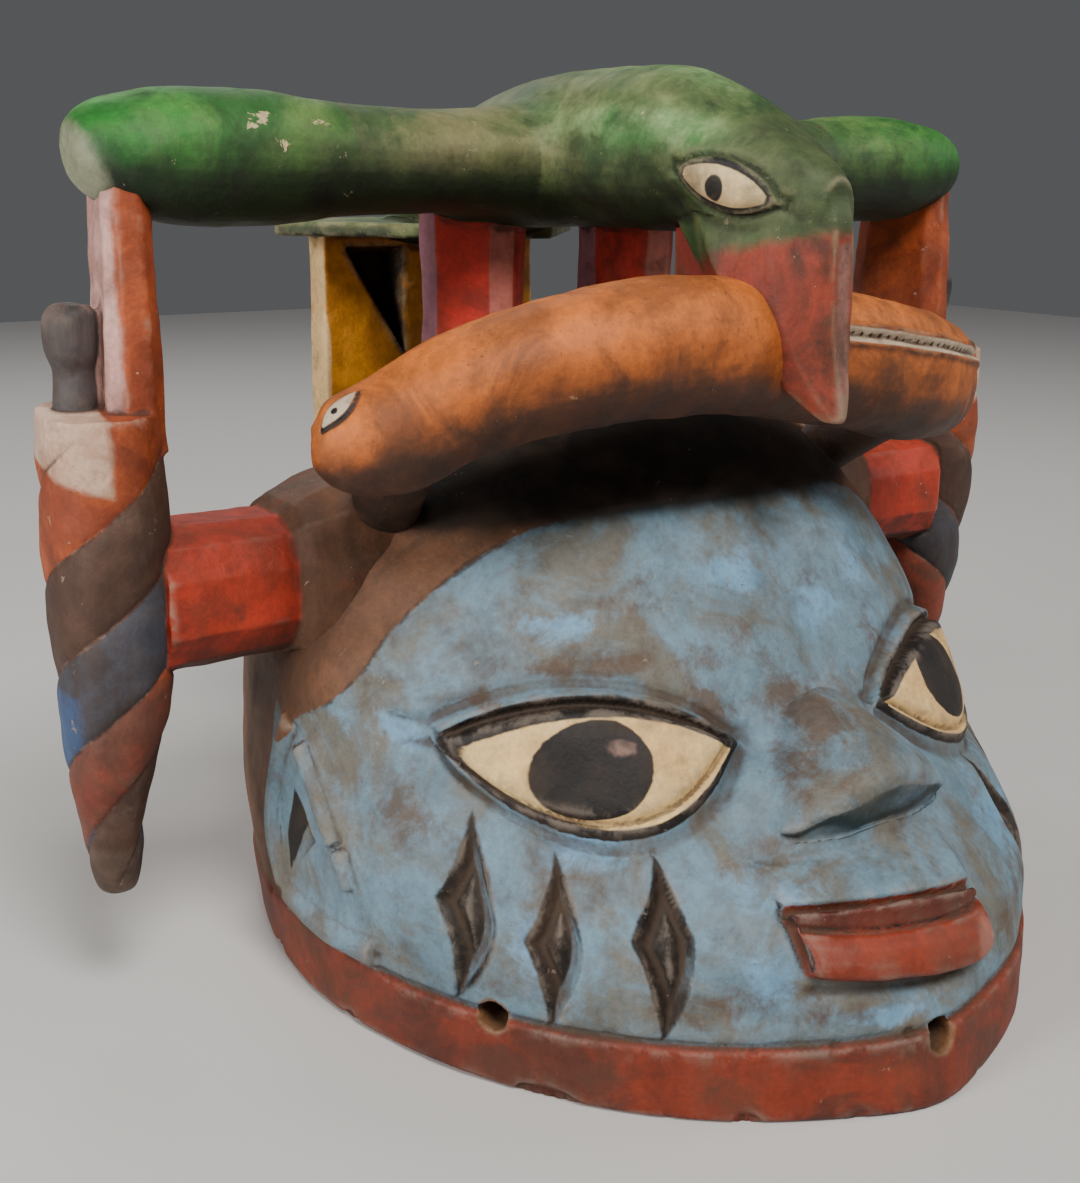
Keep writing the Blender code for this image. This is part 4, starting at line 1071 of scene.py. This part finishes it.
def stretched(tree, place, scale):
    return node(tree, "ShaderNodeMapping", {"Vector": place, "Scale": scale}).outputs[0]


def startGroup(name, sockets):
    tree = bpy.data.node_groups.new(name, "ShaderNodeTree")
    for label, way, kind, value in sockets:
        socket = tree.interface.new_socket(label, in_out=way, socket_type=kind)
        if value is not None:
            socket.default_value = value
    return tree, node(tree, "NodeGroupInput").outputs, node(tree, "NodeGroupOutput").inputs


def brushBorderGroup():
    # a brushed border: field in millimetres inside the paint, made ragged by the wood under it
    tree, given, made = startGroup("brush border", (
        ("Inside", "INPUT", "NodeSocketFloat", 0.0), ("Ragged", "INPUT", "NodeSocketFloat", 1.0),
        ("Soft", "INPUT", "NodeSocketFloat", 0.4), ("Mask", "OUTPUT", "NodeSocketFloat", None)))
    place = objectPlace(tree)
    wander = sums(tree, "SUBTRACT", cloud(tree, place, 120.0, 5.0, 0.65), 0.5)
    moved = sums(tree, "MULTIPLY_ADD", sums(tree, "MULTIPLY", wander, 2.6), given["Ragged"], given["Inside"])
    low = sums(tree, "MULTIPLY", given["Soft"], -1.0)
    tree.links.new(ramp(tree, moved, low, given["Soft"]), made["Mask"])
    return tree


def oldPaintGroup():
    # worn tempera on carved wood: blotches, brush marks, rubbed-in dirt, dirt and painted shade in the hollows,
    # specks, chips
    tree, given, made = startGroup("old paint", (
        ("Paint", "INPUT", "NodeSocketColor", (0.5, 0.5, 0.5, 1.0)), ("Edge", "INPUT", "NodeSocketFloat", 0.0),
        ("Hollow", "INPUT", "NodeSocketFloat", 0.0), ("Dirt", "INPUT", "NodeSocketFloat", 0.5),
        ("Chipping", "INPUT", "NodeSocketFloat", 0.5), ("Bare", "INPUT", "NodeSocketColor", (0.30, 0.15, 0.07, 1.0)),
        ("GrimeAndShade", "INPUT", "NodeSocketColor", (0.045, 0.026, 0.016, 1.0)),
        ("Colour", "OUTPUT", "NodeSocketColor", None), ("Dullness", "OUTPUT", "NodeSocketFloat", None),
        ("Height", "OUTPUT", "NodeSocketFloat", None)))
    place = objectPlace(tree)
    broad = cloud(tree, place, 24.0, 5.0, 0.62, 0.6)
    middle = cloud(tree, place, 90.0, 6.0, 0.68, 0.3)
    fine = cloud(tree, place, 520.0, 4.0, 0.7)
    brush = cloud(tree, stretched(tree, place, (150.0, 150.0, 22.0)), 1.0, 4.0, 0.6)
    shade = ramp(tree, broad, 0.30, 0.72, 0.66, 1.16)
    shade = sums(tree, "MULTIPLY", shade, ramp(tree, middle, 0.25, 0.78, 0.78, 1.16))
    shade = sums(tree, "MULTIPLY", shade, ramp(tree, brush, 0.30, 0.72, 0.90, 1.08))
    shade = sums(tree, "MULTIPLY", shade, ramp(tree, fine, 0.25, 0.75, 0.86, 1.12))
    tint = node(tree, "ShaderNodeCombineColor", {0: shade, 1: shade, 2: shade}).outputs[0]
    colour = blend(tree, 1.0, given["Paint"], tint, "MULTIPLY")

    rubbed = sums(tree, "ADD", sums(tree, "MULTIPLY", broad, 0.55), sums(tree, "MULTIPLY", middle, 0.55))
    dirty = sums(tree, "MULTIPLY", ramp(tree, rubbed, 0.50, 0.72), given["Dirt"])
    # hollows darkened towards the grime colour: settled dirt and painted shade
    settledDirtAndShade = sums(tree, "MULTIPLY", given["Hollow"], ramp(tree, middle, 0.25, 0.62, 0.35, 1.0))
    settledDirtAndShade = sums(tree, "MULTIPLY", settledDirtAndShade, sums(tree, "ADD", given["Dirt"], 0.35, clamp=True))
    specks = sums(tree, "MULTIPLY", ramp(tree, cloud(tree, place, 950.0, 3.0, 0.6), 0.60, 0.68),
                  ramp(tree, middle, 0.40, 0.66, 0.0, 0.85))
    specks = sums(tree, "MULTIPLY", specks, given["Dirt"])
    dirtAndShade = sums(tree, "MAXIMUM", sums(tree, "MAXIMUM", dirty, settledDirtAndShade), specks, clamp=True)
    colour = blend(tree, sums(tree, "MULTIPLY", dirtAndShade, 0.86), colour, given["GrimeAndShade"])

    rubEdge = sums(tree, "MULTIPLY", given["Edge"], ramp(tree, middle, 0.42, 0.60))
    flakes = ramp(tree, cloud(tree, place, 210.0, 5.0, 0.72), 0.665, 0.70)
    chips = sums(tree, "MAXIMUM", sums(tree, "MULTIPLY", rubEdge, 0.85), flakes)
    chips = sums(tree, "MULTIPLY", chips, given["Chipping"], clamp=True)
    colour = blend(tree, chips, colour, given["Bare"])
    tree.links.new(colour, made["Colour"])

    dull = sums(tree, "ADD", 0.50, sums(tree, "MULTIPLY", dirtAndShade, 0.22))
    dull = sums(tree, "ADD", dull, sums(tree, "MULTIPLY", fine, 0.18))
    tree.links.new(sums(tree, "ADD", dull, sums(tree, "MULTIPLY", chips, 0.12), clamp=True), made["Dullness"])
    height = sums(tree, "ADD", sums(tree, "MULTIPLY", middle, 0.9), sums(tree, "MULTIPLY", fine, 0.45))
    height = sums(tree, "ADD", height, sums(tree, "MULTIPLY", brush, 0.5))
    height = sums(tree, "SUBTRACT", height, sums(tree, "MULTIPLY", chips, 0.55))
    tree.links.new(height, made["Height"])
    return tree


borderGroup = brushBorderGroup()
paintGroup = oldPaintGroup()


def grouped(tree, group, inputs):
    item = tree.nodes.new("ShaderNodeGroup")
    item.node_tree = group
    for key, value in inputs.items():
        if isinstance(value, bpy.types.NodeSocket):
            tree.links.new(value, item.inputs[key])
        elif isinstance(value, tuple):
            item.inputs[key].default_value = (*value, 1.0)
        else:
            item.inputs[key].default_value = value
    return item


def washed(tree, place, colour, rows):
    # thin patches broken up by the grain: field, colour, strength, scale of the breaks, low and high
    for name, paint, strength, scale, low, high in rows:
        breaks = sums(tree, "SUBTRACT", cloud(tree, place, scale, 6.0, 0.70, 0.4), 0.5)
        mask = ramp(tree, sums(tree, "MULTIPLY_ADD", breaks, 2.4, field(tree, name)), low, high)
        colour = blend(tree, sums(tree, "MULTIPLY", mask, strength), colour, paint)
    return colour


def paintedWood(piece, recipe):
    # recipe["coats"]: field, colour or two, ragged, soft, strength, in the order they were brushed on
    material = bpy.data.materials.new(recipe["name"])
    material.use_nodes = True
    tree = material.node_tree
    tree.nodes.clear()
    output = node(tree, "ShaderNodeOutputMaterial")
    shader = node(tree, "ShaderNodeBsdfPrincipled", {"Specular IOR Level": recipe["gloss"]})
    tree.links.new(shader.outputs[0], output.inputs["Surface"])
    place = objectPlace(tree)
    mottle = ramp(tree, cloud(tree, place, recipe["mottleScale"], 6.0, 0.66, 0.9), 0.38, 0.62)
    colour = blend(tree, mottle, recipe["ground"], recipe["groundWorn"])
    colour = washed(tree, place, colour, recipe["washes"])
    for name, paint, ragged, soft, strength in recipe["coats"]:
        border = grouped(tree, borderGroup, {"Inside": field(tree, name), "Ragged": ragged, "Soft": soft})
        mask = border.outputs["Mask"]
        if strength < 1.0:
            mask = sums(tree, "MULTIPLY", mask, strength)
        if isinstance(paint[0], tuple):
            paint = blend(tree, mottle, paint[0], paint[1])
        colour = blend(tree, mask, colour, paint)
    colour = washed(tree, place, colour, recipe["overWashes"])
    old = grouped(tree, paintGroup, {"Paint": colour, "Edge": field(tree, "edge"), "Hollow": field(tree, "hollow"),
                                     "Dirt": recipe["dirtAndShade"], "GrimeAndShade": recipe["grimeAndShade"], "Chipping": recipe["chipping"],
                                     "Bare": recipe["bare"]})
    tree.links.new(old.outputs["Colour"], shader.inputs["Base Color"])
    tree.links.new(old.outputs["Dullness"], shader.inputs["Roughness"])
    bump = node(tree, "ShaderNodeBump", {"Strength": 0.60, "Distance": 0.0007, "Height": old.outputs["Height"]})
    tree.links.new(bump.outputs[0], shader.inputs["Normal"])
    piece.data.materials.clear()
    piece.data.materials.append(material)
    return material


print("paint")
paintedWood(head, {
    "name": "headPaint", "gloss": 0.36, "mottleScale": 30.0,
    "ground": (0.175, 0.290, 0.375), "groundWorn": (0.165, 0.160, 0.135),
    "washes": (
        ("bright", (0.200, 0.405, 0.600), 0.9, 60.0, 0.35, 0.85),
        # brown dirt, partly painted shade under the snake
        ("grimeAndShade", (0.115, 0.068, 0.038), 0.85, 70.0, 0.25, 0.85),
    ),
    "coats": (
        ("earGrime", (0.140, 0.105, 0.078), 1.4, 1.4, 0.45),
        ("paintHair", ((0.220, 0.092, 0.042), (0.130, 0.060, 0.031)), 0.5, 0.35, 1.0),
        # painted shadow of the snake on the hair
        ("snakeShadowOnHair", (0.006, 0.005, 0.004), 1.0, 2.2, 0.96),
        ("hairEdge", (0.030, 0.019, 0.014), 0.7, 0.35, 0.75),
        ("paintRed", ((0.260, 0.034, 0.011), (0.120, 0.030, 0.016)), 0.6, 0.4, 1.0),
        # painted shade on the upper lip, painted light on the lower lip
        ("upperLipShade", (0.085, 0.014, 0.007), 0.5, 0.4, 0.8),
        ("lowerLipLight", (0.310, 0.040, 0.014), 0.5, 0.4, 0.7),
        # pale pink patch on the far end of the lower lip
        ("lipPaleSpot", (0.460, 0.200, 0.150), 1.2, 1.5, 0.7),
        ("paintScar", ((0.009, 0.006, 0.004), (0.026, 0.014, 0.009)), 0.5, 0.4, 1.0),
        # dark paint, and painted shade in the ear recess and at the lips' near end
        ("paintDark", (0.012, 0.009, 0.008), 0.45, 0.35, 1.0),
        ("paintCream", ((0.950, 0.660, 0.290), (0.860, 0.540, 0.220)), 0.35, 0.3, 1.0),
        ("paintPupil", ((0.007, 0.005, 0.005), (0.020, 0.014, 0.012)), 0.45, 0.3, 1.0),
        # painted highlight on the near pupil, partly worn paint
        ("pupilGlintAndWear", (0.420, 0.240, 0.190), 1.2, 1.2, 0.6),
        # teal paint and painted shade under the nose
        ("noseUnderTealShade", (0.018, 0.036, 0.036), 0.6, 0.9, 0.9),
        ("paintWood", ((0.260, 0.120, 0.050), (0.120, 0.058, 0.030)), 0.8, 0.8, 1.0),
    ),
    "overWashes": (),
    "dirtAndShade": 0.80, "grimeAndShade": (0.050, 0.030, 0.018), "chipping": 0.30, "bare": (0.400, 0.330, 0.270),
})
paintedWood(snake, {
    "name": "snakePaint", "gloss": 0.40, "mottleScale": 34.0,
    "ground": (0.620, 0.150, 0.020), "groundWorn": (0.230, 0.062, 0.014),
    "washes": (),
    "coats": (
        # painted light on the snake's top
        ("snakeTopLight", ((0.820, 0.215, 0.030), (0.400, 0.108, 0.020)), 2.2, 2.4, 0.8),
        # painted shade on the snake's underside
        ("snakeUnderShade", ((0.080, 0.028, 0.012), (0.040, 0.017, 0.009)), 2.4, 2.6, 0.95),
        # painted shadow on the feet
        ("footShadow", (0.034, 0.017, 0.010), 0.6, 0.6, 1.0),
        ("paintProp", (0.260, 0.026, 0.014), 0.4, 0.4, 1.0),
        ("paintCream", (0.640, 0.520, 0.380), 0.4, 0.3, 1.0),
        ("paintDark", (0.012, 0.010, 0.010), 0.2, 0.2, 1.0),
    ),
    "overWashes": (),
    "dirtAndShade": 1.0, "grimeAndShade": (0.060, 0.024, 0.011), "chipping": 0.25, "bare": (0.56, 0.34, 0.20),
})
paintedWood(bird, {
    "name": "birdPaint", "gloss": 0.40, "mottleScale": 34.0,
    "ground": (0.004, 0.125, 0.010), "groundWorn": (0.003, 0.046, 0.006),
    "washes": (),
    "coats": (
        # painted light on the wings' tops
        ("wingTopLight", ((0.014, 0.300, 0.024), (0.006, 0.150, 0.012)), 2.0, 2.0, 0.85),
        ("paintShoulder", ((0.360, 0.270, 0.130), (0.110, 0.170, 0.060)), 2.2, 6.0, 0.95),
        # painted highlight on the body
        ("bodyHighlight", ((0.300, 0.480, 0.200), (0.090, 0.290, 0.070)), 1.6, 2.2, 0.8),
        # painted shade on the undersides
        ("wingUnderShade", ((0.002, 0.020, 0.002), (0.002, 0.005, 0.001)), 1.6, 2.4, 0.94),
        ("headDull", ((0.070, 0.095, 0.036), (0.044, 0.050, 0.022)), 2.4, 4.0, 0.6),
        ("paintPale", (0.340, 0.360, 0.230), 1.4, 1.8, 0.9),
        ("paintLeg", ((0.850, 0.048, 0.026), (0.460, 0.046, 0.026)), 0.5, 0.4, 1.0),
        ("legLilac", (0.520, 0.210, 0.270), 0.4, 0.4, 1.0),
        ("legPink", (0.700, 0.200, 0.150), 0.4, 0.4, 1.0),
        ("paintBoard", ((0.900, 0.360, 0.016), (0.560, 0.210, 0.014)), 0.6, 0.5, 1.0),
        # painted shadow on the tail board
        ("boardShadow", (0.014, 0.010, 0.007), 2.0, 1.8, 1.0),
        ("boardEdge", (0.860, 0.560, 0.250), 0.7, 0.5, 1.0),
        ("paintBeak", ((0.320, 0.042, 0.018), (0.090, 0.026, 0.014)), 2.2, 2.4, 1.0),
        ("paintRidge", ((0.330, 0.150, 0.120), (0.200, 0.080, 0.060)), 1.2, 1.0, 0.9),
        ("paintCream", ((0.820, 0.620, 0.330), (0.620, 0.440, 0.230)), 0.3, 0.25, 1.0),
        ("paintDark", (0.012, 0.010, 0.010), 0.3, 0.25, 1.0),
    ),
    "overWashes": (("chipSpots", (0.760, 0.600, 0.330), 0.95, 210.0, 0.92, 1.00),),
    "dirtAndShade": 0.85, "grimeAndShade": (0.008, 0.010, 0.004), "chipping": 0.35, "bare": (0.46, 0.40, 0.24),
})
paintedWood(knives, {
    "name": "knifePaint", "gloss": 0.40, "mottleScale": 36.0,
    "ground": (0.500, 0.095, 0.022), "groundWorn": (0.290, 0.052, 0.016),
    "washes": (),
    "coats": (
        ("lowRed", ((0.300, 0.050, 0.024), (0.150, 0.050, 0.030)), 2.0, 5.0, 1.0),
        ("strutPale", ((0.800, 0.460, 0.400), (0.520, 0.270, 0.230)), 1.2, 1.0, 1.0),
        ("paintPeg", ((0.520, 0.038, 0.012), (0.300, 0.034, 0.013)), 0.4, 0.4, 1.0),
        # painted shade under the pegs
        ("pegUnderShade", (0.060, 0.016, 0.010), 2.0, 2.2, 0.9),
        ("pegFlare", ((0.170, 0.072, 0.034), (0.120, 0.056, 0.030)), 0.8, 0.6, 1.0),
        ("paintMouth", ((0.800, 0.540, 0.400), (0.600, 0.350, 0.230)), 1.4, 1.2, 1.0),
        ("paintBrown", ((0.060, 0.028, 0.018), (0.095, 0.045, 0.028)), 0.6, 0.5, 1.0),
        ("paintBlue", ((0.056, 0.060, 0.078), (0.050, 0.036, 0.034)), 0.6, 0.5, 1.0),
        ("brightBlue", (0.045, 0.110, 0.260), 1.4, 1.2, 0.85),
        ("paintTip", ((0.034, 0.020, 0.014), (0.130, 0.080, 0.054)), 1.6, 1.6, 0.9),
        ("paintHandle", ((0.090, 0.080, 0.082), (0.024, 0.016, 0.015)), 0.5, 0.4, 1.0),
    ),
    # worn paint and painted highlight along the strand borders
    "overWashes": (("strandEdgeWearAndSheen", (0.460, 0.300, 0.220), 0.5, 160.0, 0.35, 1.00),),
    "dirtAndShade": 0.75, "grimeAndShade": (0.036, 0.018, 0.011), "chipping": 0.45, "bare": (0.54, 0.38, 0.28),
})


# floor, lights and camera

studioSettings = {
    "floorSize": 4.0, "floorColour": (0.56, 0.55, 0.535),
    # name, place, size, power, colour
    "lights": (
        ("keyLight", (-0.35, -1.20, 1.70), 0.75, 40.0, (1.0, 0.965, 0.92)),
        ("leftLight", (-1.40, -0.10, 0.60), 0.6, 16.0, (1.0, 0.98, 0.95)),
        ("rightLight", (1.20, -0.70, 0.90), 0.6, 6.0, (1.0, 0.98, 0.95)),
        ("backLight", (0.20, 1.10, 1.10), 0.8, 5.0, (1.0, 0.98, 0.95)),
    ),
    "sky": (0.80, 0.82, 0.86), "skyStrength": 0.12,
    "cameraPlace": (-0.2899, -0.3559, 0.2319), "lens": 30.46, "sensor": 24.0,
    "cameraRight": (0.8148, -0.5796, 0.0129), "cameraUp": (0.146, 0.2268, 0.9629),
}


def floorPiece():
    bm = bmesh.new()
    bmesh.ops.create_grid(bm, x_segments=2, y_segments=2, size=studioSettings["floorSize"] / 2.0)
    mesh = bpy.data.meshes.new("floor")
    bm.to_mesh(mesh)
    bm.free()
    item = bpy.data.objects.new("floor", mesh)
    bpy.context.scene.collection.objects.link(item)
    material = bpy.data.materials.new("paleFloor")
    material.use_nodes = True
    shader = material.node_tree.nodes["Principled BSDF"]
    shader.inputs["Base Color"].default_value = (*studioSettings["floorColour"], 1.0)
    shader.inputs["Roughness"].default_value = 0.85
    mesh.materials.append(material)
    return item


def softLight(name, place, size, power, colour):
    lamp = bpy.data.lights.new(name, "AREA")
    lamp.shape, lamp.size, lamp.energy, lamp.color = "DISK", size, power, colour
    item = bpy.data.objects.new(name, lamp)
    item.location = place
    item.rotation_euler = (Vector((0.0, 0.0, 0.13)) - Vector(place)).to_track_quat("-Z", "Y").to_euler()
    bpy.context.scene.collection.objects.link(item)


print("studio")
floorPiece()
for light in studioSettings["lights"]:
    softLight(*light)
world = bpy.data.worlds.new("studio")
world.use_nodes = True
world.node_tree.nodes["Background"].inputs[0].default_value = (*studioSettings["sky"], 1.0)
world.node_tree.nodes["Background"].inputs[1].default_value = studioSettings["skyStrength"]
bpy.context.scene.world = world

lens = bpy.data.cameras.new("camera")
lens.sensor_fit, lens.sensor_height, lens.lens = "VERTICAL", studioSettings["sensor"], studioSettings["lens"]
lens.clip_start = 0.01
camera = bpy.data.objects.new("camera", lens)
right, up = Vector(studioSettings["cameraRight"]).normalized(), Vector(studioSettings["cameraUp"])
back = right.cross(up).normalized()
up = back.cross(right).normalized()
turn = Matrix((right, up, back)).transposed()
camera.matrix_world = Matrix.Translation(studioSettings["cameraPlace"]) @ turn.to_4x4()
bpy.context.scene.collection.objects.link(camera)
bpy.context.scene.camera = camera
